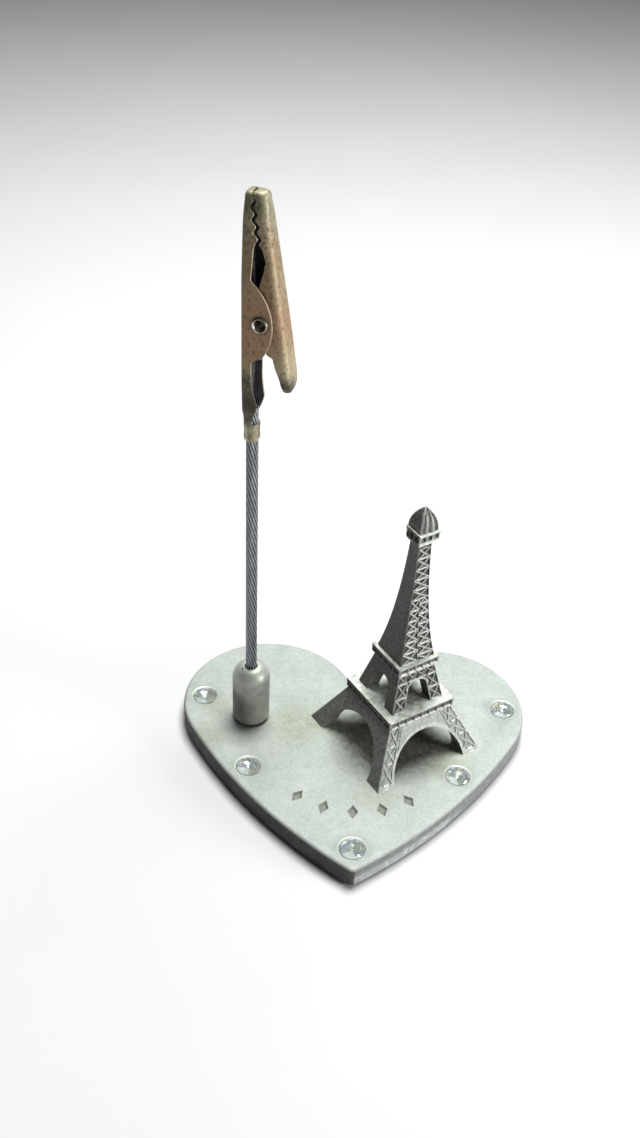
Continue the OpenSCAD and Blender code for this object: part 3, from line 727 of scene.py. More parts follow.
def stone_shell(height):
    """A brilliant: table, star and kite facets, girdle, and a low pavilion behind it. Gives its
    points, the faces in front of the pavilion and those of the pavilion."""
    r, girdle = STONE_D / 2, height * 0.42

    def ring(count, radius, z, phase=0.0):
        return at_height(polar(radius, (np.arange(count) + phase) * 360 / count), z)

    points = np.concatenate([
        ring(8, r * 0.5, height, 0.5),
        ring(8, r * 0.79, girdle + (height - girdle) * 0.62),
        ring(16, r, girdle),
        ring(16, r, girdle - 0.08),
        ring(8, r * 0.5, girdle - 0.34),
        [(0, 0, 0.02)],
    ])
    table, star, upper, lower, back, tip = 0, 8, 16, 32, 48, 56
    crown, pavilion = [tuple(range(table, table + 8))], []
    for i in range(8):
        j = (i + 1) % 8
        here, half_way, there = 2 * i, 2 * i + 1, 2 * j
        crown.append((table + (i - 1) % 8, star + i, table + i))
        crown.append((table + i, star + i, upper + half_way, star + j))
        crown.append((star + i, upper + here, upper + half_way))
        crown.append((star + j, upper + half_way, upper + there))
        pavilion.append((back + i, lower + half_way, lower + here))
        pavilion.append((back + i, back + j, lower + half_way))
        pavilion.append((back + j, lower + there, lower + half_way))
        pavilion.append((back + j, back + i, tip))
    for i in range(16):
        j = (i + 1) % 16
        crown.append((upper + i, lower + i, lower + j, upper + j))
    return points, crown, pavilion


def make_stones():
    """Stones turned at random by up to 45 degrees, each with two of its eight sectors, those to the front
    left, painted near white as a painted highlight.
    """
    materials = [stone_glass(), stone_foil(), stone_painted_highlight()]
    rng = random.Random(7)
    for name in STONES:
        low, high = node_box(name)
        points, crown, pavilion = stone_shell(high[2] - low[2])
        shell = moved((points, crown + pavilion), (*middle_of(name), low[2]), rng.uniform(0, 45))
        stone = new_mesh(name.replace("stone", "crystal"), shell, materials)
        for i, polygon in enumerate(stone.data.polygons):
            polygon.use_smooth = False
            sector = (i - len(crown)) // 4
            if sector >= 0:
                # Sectors 4 and 5 lie to the front left and take the painted highlight
                polygon.material_index = 2 if sector in (4, 5) else 1
        face_outward(stone.data)
        dress(stone, HOLDER, name)


# Tower


def smooth(t):
    t = np.clip(t, 0, 1)
    return t * t * (3 - 2 * t)


def bar(distance, half_width, soft=0.08):
    """1 on a bar, 0 off it, with a soft shoulder."""
    return smooth((half_width + soft - np.abs(distance)) / soft)


def ledge(height, depth=0.09, slope=0.2, steep=0.05):
    """A level bar with a steep underside and a sloped top that catches the light."""
    return smooth(np.where(height < 0, (height + depth + steep) / steep, (slope + depth - height) / slope))


class Relief:
    """How far a wall stands out at each of its points, from 0 to 1, and how bright it is rubbed."""

    def __init__(self, like, tint=0.0):
        self.height = np.zeros(np.shape(like))
        self.tint = np.full(np.shape(like), tint)

    def add(self, mask, tint, where=True):
        mask = np.where(where, mask, 0.0)
        self.tint = np.maximum(self.tint, mask * tint)
        self.height = np.maximum(self.height, mask)

    def truss(self, fx, fy, width, height, tint, ledge_tint=0.9, ledge_share=0.8, where=True):
        """An X with a ledge at its foot and one at its top. fx and fy run from 0 to 1 over the cell."""
        length = np.hypot(width, height)
        for slant in (fx - fy, fx + fy - 1):
            self.add(bar(np.abs(slant) * width * height / length, 0.07, 0.12), tint, where)
        middle = smooth((ledge_share / 2 - np.abs(fx - 0.5)) * width / 0.12 + 0.5)
        for level in (fy * height, (fy - 1) * height):
            self.add(ledge(level) * middle, ledge_tint, where)


def cell(bars, z):
    """The cell between level bars that a height lies in: its number, height and share below."""
    k = int(np.clip(np.searchsorted(bars, z) - 1, 0, len(bars) - 2))
    height = bars[k + 1] - bars[k]
    return k, height, (z - bars[k]) / height


def leg_walk(low, high):
    """Points round a leg's section from (low, low) to (high, high), counter-clockwise, as rows of
    x, y, normal x, normal y, place along the wall and tint off the carving. The walls at high
    are the outer ones, and the corner between them is rounded."""
    corner = high - CORNER_R
    rows = [(x, low, 0, 0, 0, PLAIN_TINT) for x in np.linspace(low, high, 6, endpoint=False)]
    rows += [(high, s, 1, 0, s, PLAIN_TINT) for s in np.linspace(low, corner, 46)]
    rows += [(x, y, 0, 0, high, CORNER_TINT) for x, y in corner + polar(CORNER_R, [22.5, 45, 67.5])]
    rows += [(s, high, 0, 1, s, PLAIN_TINT) for s in np.linspace(corner, low, 46)]
    rows += [(low, y, 0, 0, 0, PLAIN_TINT) for y in np.linspace(high, low, 7, endpoint=False)[1:]]
    return np.array(rows)


def column_walk(half, corners, steps, side_steps, edge_tint):
    """Rows like those of a leg, round a whole square section. Each wall is followed by its
    rounded corner."""
    rows = []
    for k, (nx, ny) in enumerate(((1, 0), (0, 1), (-1, 0), (0, -1))):
        before, after = corners[k - 1], corners[k]
        turned = np.array([(nx, ny), (-ny, nx)])
        for s in np.linspace(before - half, half - after, steps if ny else side_steps):
            rows.append((*((half, s) @ turned), nx, ny, s, PLAIN_TINT))
        for place in half - after + polar(after, np.linspace(0, 90, 7)[1:-1]):
            rows.append((*(place @ turned), 0, 0, half, edge_tint))
    return np.array(rows)


def sunk(rows, z, half, relief, carve, both=False):
    """A ring sunk where the relief doesn't stand out, in the walls across y or in both kinds, and
    how bright each of its points is."""
    x, y, nx, ny, s, tint = rows.T
    carving = relief(s, z, half)
    sink = np.where((ny != 0) | (both & (nx != 0)), carve * (1 - carving.height), 0.0)
    ring = at_height(np.column_stack([x - nx * sink, y - ny * sink]), z)
    return ring, np.where(ny != 0, carving.tint, tint)


def corner_legs(shells, z0, levels, half_at, open_at, relief, carve=CARVE):
    """Four legs of a stage. Each is a square column whose inner corner follows the opening.
    The walls across y are carved and those across x are plain."""
    for sx in SIDES:
        for sy in SIDES:
            rings, tints = [], []
            for z in levels:
                high = half_at(z)
                ring, tint = sunk(leg_walk(max(open_at(z), 0.0), high), z, high, relief, carve)
                rings.append((ring * (sx, sy, 1) + (0, 0, z0))[::sx * sy])
                tints.append(tint[::sx * sy])
            shells.add(loft(rings), np.concatenate(tints))


def carved_column(shells, z0, levels, half_at, relief, steps, carve=CARVE, corners=(CORNER_R,) * 4,
                  both=False, edge_tint=CORNER_TINT):
    """A square column with relief sunk into its front and back, or into all its walls."""
    rings, tints = [], []
    for z in levels:
        half = half_at(z)
        rounds = [min(r, half * 0.45) for r in corners]
        rows = column_walk(half, rounds, steps, steps if both else 8, edge_tint)
        ring, tint = sunk(rows, z, half, relief, carve, both)
        rings.append(ring + (0, 0, z0))
        tints.append(tint)
    shells.add(loft(rings), np.concatenate(tints))


def eased(height, steps):
    """Levels from 0 to a height with close ones at both ends."""
    top = height - EASE
    return [0, EASE / 3, EASE, *np.linspace(EASE, top, steps)[1:-1], top, height - EASE / 3, height]


def deck_band(shells, width, top, t, pockets):
    """A deck: a lip over a band with a row of shallow pockets, each with a sill painted bright as a painted
    highlight.
    """
    height = 2 * t
    pitch = (width - t) / pockets

    def half_at(z):
        near_end = max(EASE - z, z - height + EASE, 0.0)
        return width / 2 - 0.6 * near_end - 0.05 * (z < height - 0.3)

    def relief(s, z, half):
        r = Relief(s, 0.06)
        across = np.abs((s / pitch + pockets / 2) % 1 - 0.5) * pitch
        posts = np.where(np.abs(s) > pitch * pockets / 2, 1.0, bar(pitch / 2 - across, 0.11, 0.05))
        sill = ledge(z - 0.1, 0.1, 0.19)
        r.add(posts, 0.26)
        r.add(smooth((z - height + 0.27) / 0.06), 0.5)
        # The sills between the posts get a tint above 1, a painted highlight that shows them full bright
        r.add(np.where(posts < 0.3, sill, 0.0), 1.8)
        r.add(sill, 0.0)
        return r

    carved_column(shells, top - height, eased(height, 26), half_at, relief, 22 * pockets, BAND_CARVE,
                  both=True)


def lower_stage(shells):
    """Four legs and the arches between them, up to the first deck."""
    height = DECK1_Z - DECK1_T
    top_half = DECK1_W / 2 - DECK1_T
    arch_r = ((FOOT_HALF - FOOT_W) ** 2 + ARCH_H**2) / (2 * ARCH_H)
    arch_z = ARCH_H - arch_r

    def half_at(z):
        return FOOT_HALF + (top_half - FOOT_HALF) * z / height

    def arch(z):
        return math.sqrt(max(arch_r**2 - (z - arch_z) ** 2, 0.0)) if z < ARCH_H else 0.0

    def relief(s, z, half):
        s = np.abs(s)
        _, cell_h, share = cell(LOWER_BARS, z)
        strip = along(z, *LEG_FACE)
        inner = s - (half - strip)
        in_strip = inner > 0
        width = strip - 0.45
        r = Relief(s, 0.2)
        across = np.clip((inner - 0.2) / width, 0, 1)
        r.truss(across, share, width, cell_h, 0.4, ledge_share=0.42, where=in_strip)
        r.add(bar(half - s, 0.2), 0.36)
        r.add(bar(inner - 0.14, 0.09, 0.12), 0.36)
        rim = np.hypot(s, z - arch_z) - arch_r
        r.add(bar(rim - 0.1, 0.3, 0.1), 0.5, ~in_strip | (rim < 0.4))
        r.add(0.75 * smooth((-inner - 0.05) / 0.1), 0.32 / 0.75)
        r.add(smooth((0.5 - z) / 0.1), 0.4)
        return r

    turns = np.linspace(math.asin(-arch_z / arch_r), math.pi / 2, 130)
    arch_levels = arch_z + arch_r * np.sin(turns)
    levels = np.concatenate([(0.0, 0.15, 0.3, 0.4), arch_levels[arch_levels > 0.45]])
    corner_legs(shells, 0, levels, half_at, arch, relief, LEG_CARVE)
    carved_column(shells, 0, np.linspace(ARCH_H - OVERLAP, height, 44), half_at, relief, 150, LEG_CARVE)


def upper_stage(shells):
    """Four legs and the archways between them, from the first deck to the second."""
    foot_half = DECK1_W / 2 - 1.5 * DECK1_T
    top_half = DECK2_W / 2 - DECK2_T
    height = DECK2_Z - DECK2_T - DECK1_Z
    spring = ARCHWAY_H - ARCHWAY_RISE
    columns = 4

    def half_at(z):
        return foot_half + (top_half - foot_half) * (z + DECK1_T) / (height + DECK1_T)

    def archway(z):
        if z <= spring:
            return (ARCHWAY_FOOT_W + (ARCHWAY_W - ARCHWAY_FOOT_W) * z / spring) / 2
        if z >= ARCHWAY_H:
            return 0.0
        return ARCHWAY_W / 2 * math.sqrt(max(1 - ((z - spring) / ARCHWAY_RISE) ** 2, 0.0))

    def relief(s, z, half):
        r = Relief(s)
        k, cell_h, share = cell(UPPER_BARS, z)
        if k < 2:
            opening = archway(min(z, spring))
            inner, width = np.abs(s) - opening, half - opening - 0.3
            r.truss(np.clip((inner - 0.1) / width, 0, 1), share, width, cell_h, 0.45, where=inner > 0.1)
            r.add(bar(inner - 0.08, 0.08), 0.4)
        else:
            across = (s / (half - 0.1) + 1) / 2 * columns
            r.truss(across % 1, share, 2 * half / columns, cell_h, 0.28)
        r.add(bar(half - np.abs(s), 0.15), CORNER_TINT)
        rim = np.hypot(s * 2 * ARCHWAY_RISE / ARCHWAY_W, z - spring) - ARCHWAY_RISE
        r.add(bar(rim - 0.1, 0.14), 0.55, z > spring)
        return r

    arch_levels = spring + ARCHWAY_RISE * np.sin(np.linspace(0.06, math.pi / 2, 26))
    levels = np.concatenate([np.linspace(0, spring, 64), arch_levels])
    z0 = DECK1_Z - OVERLAP
    corner_legs(shells, z0, levels, half_at, archway, relief)
    carved_column(shells, z0, np.linspace(ARCHWAY_H - OVERLAP, height, 44), half_at, relief, 96)


def shaft(shells):
    """The shaft that narrows up to the gallery: two columns of cells side by side, then one."""
    height = GALLERY_Z - GALLERY_H - DECK2_Z
    pitch = (height - SHAFT_NECK) / SHAFT_ROWS

    def half_at(z):
        share = (z + DECK2_T) / (height + 2 * DECK2_T)
        floor = math.exp(-SHAFT_CURVE)
        fall = (math.exp(-SHAFT_CURVE * share) - floor) / (1 - floor)
        return (SHAFT_TOP_W + (SHAFT_W - SHAFT_TOP_W) * fall) / 2

    def relief(s, z, half):
        r = Relief(s)
        columns = 2 if int(z / pitch) < SHAFT_DOUBLE_ROWS else 1
        across = np.clip((s / (half - 0.1) + 1) / 2, 0, 0.9999) * columns
        shift = 0.5 * (np.floor(across) % 2)
        if z < height - SHAFT_NECK:
            r.truss(across % 1, (z / pitch + shift) % 1, 2 * half / columns, pitch, 0.7, 1.0, 0.7)
            if columns == 2:
                r.add(bar(s, 0.07), 0.25)
        else:
            r.add(0.35, 0.1)
        r.add(bar(half - np.abs(s), 0.09), 0.3)
        return r

    levels = np.linspace(-OVERLAP, height + OVERLAP, 420)
    carved_column(shells, DECK2_Z, levels, half_at, relief, 64, edge_tint=0.3)


def gallery(shells):
    """The gallery near the top, drawn in at its foot, with pockets and a lip all round."""
    foot_h, lip_t = 0.35, 0.08

    def half_at(z):
        foot = 0.5 * max(foot_h - z, 0.0) ** 2 / foot_h
        lip = lip_t * smooth((z - GALLERY_H + 0.4) / 0.06)
        return GALLERY_W / 2 - lip_t - foot + lip - 0.6 * max(z - GALLERY_H + EASE, 0.0)

    def relief(s, z, half):
        r = Relief(s, 0.2)
        pockets = [bar(s - k * 0.28 * GALLERY_W, 0.36, 0.05) for k in (-1, 0, 1)]
        r.add(1 - np.max(pockets, axis=0), 0.6)
        r.add(smooth((z - GALLERY_H + 0.45) / 0.06), 0.9)
        r.add(ledge(z - 0.3, 0.3, 0.3), 1.0)
        return r

    carved_column(shells, GALLERY_Z - GALLERY_H, eased(GALLERY_H, 44), half_at, relief, 64, GALLERY_CARVE,
                  GALLERY_CORNERS, both=True)


def cupola(shells):
    """A ribbed cupola on the gallery."""

    def half_at(z):
        share = min(z / CUPOLA_H, 1.0)
        return max(GALLERY_W * CUPOLA_FOOT_SHARE / 2 * (1 - share**2.2) ** 0.75, 0.02)

    def relief(s, z, half):
        r = Relief(s)
        r.add((0.5 - 0.5 * np.cos(3 * math.pi * s / max(half, 0.2))) ** 1.5, 0.6)
        return r

    levels = CUPOLA_H * np.sin(np.radians(np.linspace(0, 90, 60)))
    corners = (CUPOLA_CORNER_R,) * 4
    carved_column(shells, GALLERY_Z - OVERLAP, levels, half_at, relief, 48, CUPOLA_CARVE, corners)


def make_tower():
    shells = Shells()
    lower_stage(shells)
    deck_band(shells, DECK1_W, DECK1_Z, DECK1_T, DECK1_POCKETS)
    upper_stage(shells)
    deck_band(shells, DECK2_W, DECK2_Z, DECK2_T, DECK2_POCKETS)
    shaft(shells)
    gallery(shells)
    cupola(shells)
    points, faces = moved(shells.shell(), (*TOWER_XY, TOP_Z), TOWER_TURN)
    points[:, 0] += LEAN * (points[:, 2] - LEAN_FROM_Z)
    tower = new_mesh("lattice_tower", (points, faces), [tower_metal()], sharp=50)
    shells.mark(tower)
    dress(tower, HOLDER, "tower")


# Stem


def make_socket():
    """A turned socket: undercut foot, beaded edge, domed top and a dent."""
    height = SOCKET_HIGH[2] - SOCKET_LOW[2]
    foot, rim, hole = SOCKET_R - UNDERCUT, SOCKET_R * RIM_SHARE, ROPE_R + ROPE_GAP
    bead = (SOCKET_R - BEAD_R, UNDERCUT + BEAD_R) + polar(BEAD_R, np.linspace(-80, 0, 7))
    dome = (rim, height - DOME_H) + polar(1, np.linspace(0, 86, 20)) * (SOCKET_R - rim, DOME_H)
    mouth = [(hole + 0.05, height - 0.005), (hole, height - 0.06), (hole, height - 1.2)]
    turned = lathe([(foot, 0.0), (foot, UNDERCUT), *bead, *dome, *mouth], 128)
    metal = socket_metal()
    socket = new_mesh("socket", moved(turned, (*STEM_XY, SOCKET_LOW[2])), [metal], sharp=50)
    drop = lathe([(0.02, -0.16), (0.13, -0.11), (0.17, 0.0), (0.13, 0.3), (0.02, 0.32)], 16)
    cut(socket, [new_mesh("dent", moved(drop, DENT), [metal])], sharp=50)
    dress(socket, HOLDER, "stem_socket")


def make_rope():
    """Wires laid round a core, left-handed."""
    shells = Shells()
    wire_r = ROPE_R / (1 + 1 / math.sin(math.pi / WIRES))
    lay_r = ROPE_R - wire_r
    z = np.linspace(ROPE_LOW[2], ROPE_HIGH[2], 150)
    for k in range(WIRES):
        turns = k / WIRES - (z - z[0]) / LAY_LENGTH
        wire = tube(np.column_stack([STEM_XY + polar(lay_r, 360 * turns), z]), wire_r, 14)
        shells.add(wire, (np.linalg.norm(wire[0][:, :2] - STEM_XY, axis=1) - lay_r) / wire_r)
    core = [(*STEM_XY, ROPE_LOW[2]), (*STEM_XY, ROPE_HIGH[2] - 0.1)]
    shells.add(tube(core, lay_r, 16))
    rope = new_mesh("wire_rope", shells.shell(), [rope_steel()], sharp=60)
    shells.mark(rope)
    dress(rope, HOLDER, "stem_rope")


# Clip


TOOTH_LEVELS = np.linspace(TOOTH_LOW - 0.35, CLIP_L - NOSE_ROUND, 56)
HUB_R = RIVET_D / 2 + 2 * SHEET


def tooth_edge(v, side):
    """The wavy line between the jaws, on the side of the fixed (-1) or the moving one (1)."""
    gap = along(v, (CLIP_L - 2 * NOSE_ROUND, TOOTH_GAP), (CLIP_L - NOSE_ROUND, NOSE_SLIT))
    below = TOOTH_TOP - v
    wave = -np.cos(2 * math.pi * below / (TOOTH_ROW / TEETH)) * TOOTH_DEPTH / 2
    return NOSE_U + below * math.tan(math.radians(TOOTH_LEAN)) + wave + side * gap / 2


def smoothed(v, reach, *stops):
    """A value between stops of (v, value), averaged over a reach along v."""
    values = along(v, *stops)
    return np.mean([np.interp(v + shift, v, values) for shift in np.linspace(-reach, reach, 9)], axis=0)


def jaw_edge(v, outline, reach, side):
    """A jaw's open edge: its softened outline, and above it its teeth."""
    teeth = np.clip((v - TOOTH_LOW + 0.25) / 0.3, 0, 1)
    return smoothed(v, reach, *outline) * (1 - teeth) + tooth_edge(v, side) * teeth


def nose_levels(v, web, half, edge, bend, extra, thick):
    """Levels of a jaw's outside, or of its inside at a sheet's thickness, with the rounded end
    of the nose added: the walls draw in over a quarter circle and then level, until they meet."""
    way = np.sign(edge[-1] - web[-1])
    web, half, bend = web + way * thick, half - thick, np.maximum(bend - thick, LEAST_BEND_R)
    r = NOSE_ROUND - thick
    out, up = polar(r, np.linspace(0, 90, 9)[1:]).T
    inset = np.concatenate([r - out, np.linspace(r, half[-1], 5)[1:]])
    climb = np.concatenate([up, np.full(4, r)])
    share = min(abs(edge[-1] - web[-1]) * 0.95 / (inset[-1] * (1 + EDGE_SHARE)), 1.0)
    return zip(np.concatenate([v, v[-1] + climb]),
               np.concatenate([web, web[-1] + way * inset * share]),
               np.concatenate([half, np.maximum(half[-1] - inset, 0.0)]),
               np.concatenate([edge, edge[-1] - way * EDGE_SHARE * inset * share]),
               np.concatenate([bend, np.maximum(bend[-1] - inset * 0.5, LEAST_BEND_R)]),
               np.concatenate([extra, np.zeros(len(inset))]))


def fixed_levels():
    """v, web, half width, edge, bend radius and extra width of the fixed jaw, from the crimp up."""
    notch_low, notch_high, spread = CRIMP_L - NOTCH_H, CRIMP_L + NOTCH_H, CRIMP_L + SPREAD_TOP
    v = np.concatenate([np.linspace(0, notch_low, 24, endpoint=False),
                        np.linspace(notch_low, notch_high, 14, endpoint=False),
                        np.linspace(notch_high, spread, 36, endpoint=False),
                        np.linspace(spread, TOOTH_LOW - 0.4, 130), TOOTH_LEVELS])
    ears = EAR_C + polar(EAR_R, np.linspace(-28, 52, 24))
    low, top = ears[0, 1], ears[-1, 1]
    outline = [(CRIMP_L, NOTCH_U), (CRIMP_L + 0.4, NOTCH_U), (0.38 * NECK_V + 0.62 * CRIMP_L + 0.8, CRIMP_R),
               (NECK_V - 1.0, CHEEK_U + 0.12), (NECK_V, CHEEK_U), (low - 5 * SHEET, CHEEK_U),
               (low - 4 * SHEET, PIVOT_U - 2 * SHEET), (low - 3 * SHEET, PIVOT_U + SHEET),
               *ears[:, ::-1], (TOOTH_LOW - SHEET, CHEEK_U + SHEET / 2)]
    web = along(v, (CRIMP_L, -CRIMP_R), (CRIMP_L + ROPE_END, -CRIMP_R), (NECK_V, -BACK_U),
                (TOOTH_LOW + 2, -BACK_U), (CLIP_L, -BACK_U + 0.12))
    half = smoothed(v, 0.5, (CRIMP_L, CRIMP_R), (CRIMP_L + 0.5, CRIMP_R + 0.02), (NECK_V, CLIP_W / 2),
                    (top, CLIP_W / 2), (CLIP_L - 2.5, 1.1 * NOSE_W / 2), (CLIP_L, NOSE_TOP_W / 2))
    bend = along(v, (CRIMP_L, CRIMP_R - 0.02), (CRIMP_L + 1.2, 0.9), (NECK_V, BEND_R))
    extra = smoothed(v, 0.2, (top - 0.5, 0), (top + 0.6, CHEEK_EXTRA), (TOOTH_LOW - 0.8, CHEEK_EXTRA),
                     (TOOTH_LOW - 0.3, 0))
    return v, web, half, jaw_edge(v, outline, 0.22, -1), bend, extra


def moving_levels():
    """v, web, half width, edge, bend radius and extra width of the moving jaw, from the tongue up."""
    tip_turns = np.linspace(0.05, math.pi / 2, 22)
    v = np.concatenate([LEVER_V + LEVER_TIP_L * (1 - np.cos(tip_turns)),
                        np.linspace(LEVER_V + LEVER_TIP_L + 0.05, TOOTH_LOW - 0.4, 120), TOOTH_LEVELS])
    rise, climb = PIVOT_V - LEVER_V, TOOTH_LOW - PIVOT_V
    outline = [(LEVER_V + up * rise, out * LEVER_U) for out, up in LEVER_LOW_SHARES]
    outline.append((PIVOT_V - HUB_R - 0.1, outline[-1][1]))
    outline += [(PIVOT_V + up, PIVOT_U + out) for out, up in polar(HUB_R, np.linspace(-95, -220, 12))]
    outline += [(PIVOT_V + up * climb, out * LEVER_U) for out, up in LEVER_HIGH_SHARES]
    outline.append((TOOTH_LOW, tooth_edge(TOOTH_LOW, 1)))
    edge = jaw_edge(v, outline, 0.15, 1)
    web = smoothed(v, 0.6, (LEVER_V, LEVER_U), (LEVER_V + TONGUE_L, LEVER_U),
                   (PIVOT_V - 1.7 * RIVET_D, LEVER_U - 2.4 * SHEET), (CLIP_L, NOSE_U + NOSE_DEPTH))
    lever_half = CLIP_W / 2 - SHEET - RUN_GAP
    half = smoothed(v, 0.5, (LEVER_V, lever_half), (PIVOT_V + HUB_R, lever_half),
                    (CLIP_L - 2.5, 1.05 * NOSE_W / 2), (CLIP_L, NOSE_TOP_W / 2))
    tip = np.clip((v - LEVER_V) / LEVER_TIP_L, 0, 1)
    tongue = np.sqrt(1 - (1 - tip) ** 2)
    half = half * (0.3 + 0.7 * tongue)
    web = web - 0.3 * (1 - tongue)
    edge = web - (web - edge) * (0.35 + 0.65 * tongue)
    return v, web, half, edge, np.full_like(v, LEVER_BEND_R), np.zeros_like(v)


def channel_row(web, half, edge, bend, extra):
    """A section through a bent channel as (u, y) points: cheek, bend, web, bend, cheek. The last
    cheek is wider by extra."""
    way = 1 if edge > web else -1
    r = min(bend, abs(edge - web) * 0.9, half * 0.95)
    start = web + way * r
    turn = polar(r, np.linspace(0, 90, 8))
    row = [(u, -half) for u in np.linspace(edge, start, 12, endpoint=False)]
    row += [(start - way * y, r - half - x) for x, y in turn]
    row += [(web, y) for y in np.linspace(r - half, half - r, 9)[1:-1]]
    row += [(start - way * x, half - r + y) for x, y in turn]
    row += [(u, half) for u in np.linspace(start, edge + extra, 13)[1:]]
    return np.array(row)


def crimp_row(v, thick, count):
    """A section through the barrel round the rope, open in a split on the lever's side that
    widens to a notch above it."""
    split = CRIMP_SPLIT + (NOTCH_SPLIT - CRIMP_SPLIT) * smooth((v - CRIMP_L + 0.12) / 0.24)
    r = CRIMP_R - thick
    if not thick:
        r -= 0.05 * math.sin(math.pi * min(v / CRIMP_L, 1)) ** 2 + 0.1 * max(0.25 - v, 0) / 0.25
    row = polar(r, np.linspace(-split, split - 360, count))
    row[row[:, 0] > 0, 0] *= 0.93
    return row


def jaw_rows(levels, thick, crimped):
    """The outside of a jaw, or its inside at a sheet's thickness, as rows of (u, y, v) points."""
    rows = []
    for v, *section in nose_levels(*levels, thick):
        row = channel_row(*section)
        if crimped and v < CRIMP_L + SPREAD_TOP:
            opening = smooth((v - CRIMP_L) / SPREAD_L)
            row = crimp_row(v, thick, len(row)) * (1 - opening) + row * opening
        rows.append(at_height(row, v))
    return rows


def jaw_sheet(name, levels, materials, crimped=False):
    """A jaw bent from one sheet, closed at its nose, with softened rims."""
    rings = []
    for outside, inside in zip(jaw_rows(levels, 0.0, crimped), jaw_rows(levels, SHEET, crimped)):
        rims = []
        for end, beside in ((-1, -2), (0, 1)):
            across = (inside[end] - outside[end]) * RIM / SHEET
            rims.append((outside[end] + across, inside[end] - across))
            for row in (outside, inside):
                back = row[beside] - row[end]
                row[end] += back * 0.9 * RIM / max(np.linalg.norm(back), RIM)
        rings.append(np.concatenate([outside, rims[0], inside[::-1], rims[1][::-1]]))
    jaw = new_mesh(name, on_clip(loft(rings)), materials)
    width, around = len(inside), len(rings[0])
    for i, polygon in enumerate(jaw.data.polygons):
        in_wall = i < around * (len(rings) - 1)
        polygon.material_index = int(in_wall and width + 2 <= i % around <= 2 * width)
    face_outward(jaw.data, merge=0.002)
    finish_mesh(jaw.data, 40.0)
    return jaw


def on_hinge(shell):
    """A turned shell laid on the hinge's axis, in the part's frame."""
    points, faces = shell
    return on_clip((points[:, [0, 2, 1]] * (1, -1, 1) + (PIVOT_U, 0, PIVOT_V), faces))


def pin_cutter(diameter, material):
    pin = lathe([(diameter / 2, -CLIP_W), (diameter / 2, CLIP_W)], 48)
    return new_mesh("pin_cutter", on_hinge(pin), [material])


def make_clip():
    metal = clip_metal()
    sheet = [metal, clip_inside_shade()]
    fixed = jaw_sheet("clip_back", fixed_levels(), sheet, crimped=True)
    cut(fixed, [pin_cutter(RIVET_D + 0.04, metal)])
    dress(fixed, HOLDER, "jaw_fixed")
    moving = jaw_sheet("clip_lever", moving_levels(), sheet)
    cut(moving, [pin_cutter(RIVET_D + 2 * RUN_GAP, metal)])
    dress(moving, MOVING, "jaw_moving")


def make_rivet():
    """A tube with its ends rolled over outside the cheeks."""
    half, body = CLIP_W / 2, RIVET_D / 2
    middle, reach = (FLANGE_D + RIVET_BORE) / 4, (FLANGE_D - RIVET_BORE) / 4
    rolled = [(middle + reach * x, half + FLANGE_T * max(y, 0.0))
              for x, y in polar(1, np.linspace(-10, 180, 14))]
    profile = [(body, 0.01 - half), (body, half - 0.01), *rolled, *[(r, -h) for r, h in reversed(rolled)]]
    rivet = new_mesh("tube_rivet", on_hinge(lathe(profile, 64, closed=True)), [rivet_metal()])
    dress(rivet, HOLDER, "rivet")


def make_spring():
    """A coil round the rivet. Its arms follow the jaws that they press on."""
    span = CLIP_W - 4 * SHEET - 8 * RUN_GAP - SPRING_WIRE
    arm_v = PIVOT_V - SPRING_ARM
    back = (-BACK_U + SHEET + SPRING_WIRE / 2 + RUN_GAP, -span / 2, arm_v)
    lever = (LEVER_U - 2.6 * SHEET - SPRING_WIRE / 2 - RUN_GAP, span / 2, arm_v)
    turns = np.linspace(0, 1, 110)
    out, up = polar(SPRING_R, 180 - 360 * SPRING_TURNS * turns).T
    curls = np.column_stack([PIVOT_U + out, span * (turns - 0.5), PIVOT_V + up])
    back_arm, lever_arm = np.linspace(back, curls[0], 16)[:-1], np.linspace(curls[-1], lever, 16)[1:]
    wire = on_clip(tube(np.concatenate([back_arm, curls, lever_arm]), SPRING_WIRE / 2, 10))
    spring = new_mesh("torsion_spring", wire, [spring_steel()], sharp=60)
    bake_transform(spring)
    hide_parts("clip_spring")


def dress_hidden_parts():
    """The pad and the screw keep their solids."""
    for name, material in (("base_pad", pad_rubber()), ("socket_screw", screw_steel())):
        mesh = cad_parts[name].data
        mesh.materials.clear()
        mesh.materials.append(material)


# Stage


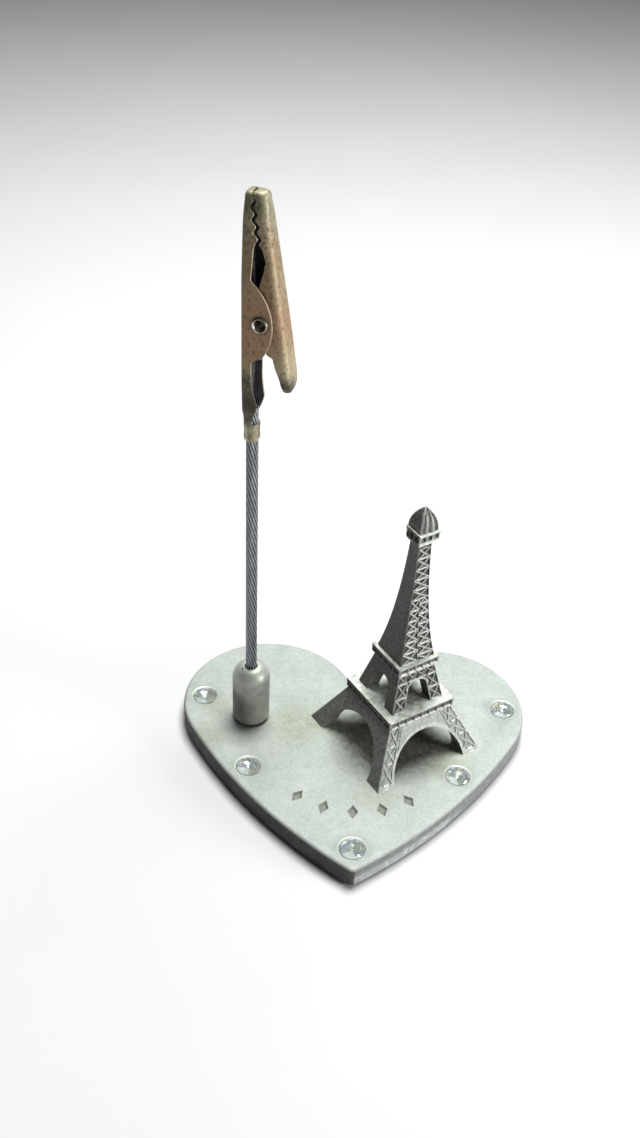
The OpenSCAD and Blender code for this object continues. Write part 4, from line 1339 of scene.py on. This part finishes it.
def make_stage():
    material = two_tone("pale_floor", (60.0, 2), (0.73, 0.73, 0.73), (0.75, 0.75, 0.75), Roughness=0.9,
                        Specular_IOR_Level=0.1)
    corners = [(x * FLOOR_HALF, y * FLOOR_HALF, 0) for x, y in ((-1, -1), (1, -1), (1, 1), (-1, 1))]
    new_mesh("floor", (corners, [(0, 1, 2, 3)]), [material])
    scene = bpy.context.scene
    scene.view_settings.view_transform = "Standard"
    scene.world = bpy.data.worlds.new("studio")
    scene.world.use_nodes = True
    background = scene.world.node_tree.nodes["Background"]
    background.inputs["Color"].default_value = (0.93, 0.97, 1.0, 1)
    background.inputs["Strength"].default_value = 0.05


def put(name, data, axes, place):
    """Puts a light or a camera at a place in metres, turned to its x, y and z axes."""
    obj = bpy.data.objects.new(name, data)
    obj.matrix_world = Matrix([*np.column_stack([*axes, place]).tolist(), (0, 0, 0, 1)])
    bpy.context.scene.collection.objects.link(obj)
    return obj


def area_light(name, place, target, size, power):
    light = bpy.data.lights.new(name, "AREA")
    light.shape = "DISK"
    light.size = size * MM
    light.energy = power
    z = np.subtract(place, target) / np.linalg.norm(np.subtract(place, target))
    x = np.cross((0, 0, 1), z)
    x /= np.linalg.norm(x)
    put(name, light, (x, np.cross(z, x), z), np.array(place) * MM)


def make_lights():
    area_light("key", (30, 120, 400), (0, 0, 20), 240, 2.45)
    area_light("side_fill", (420, -130, 80), (0, 0, 30), 200, 2.0)


def make_camera():
    """The photograph's viewpoint, fitted to the heart's outline, the stones and the stem."""
    right = (0.998860, 0.028611, 0.038224)
    up = (-0.047742, 0.609486, 0.791358)
    backward = (-0.000655, -0.792281, 0.610156)
    data = bpy.data.cameras.new("camera")
    data.lens = 38.02
    data.sensor_width = 36.0
    data.clip_start = 0.002
    data.clip_end = 20.0
    place = np.array((-6.502, -129.10, 136.86)) * MM
    bpy.context.scene.camera = put("camera", data, (right, up, backward), place)


make_camera()
make_base()
make_stones()
make_tower()
make_socket()
make_rope()
make_clip()
make_rivet()
make_spring()
dress_hidden_parts()
make_stage()
make_lights()
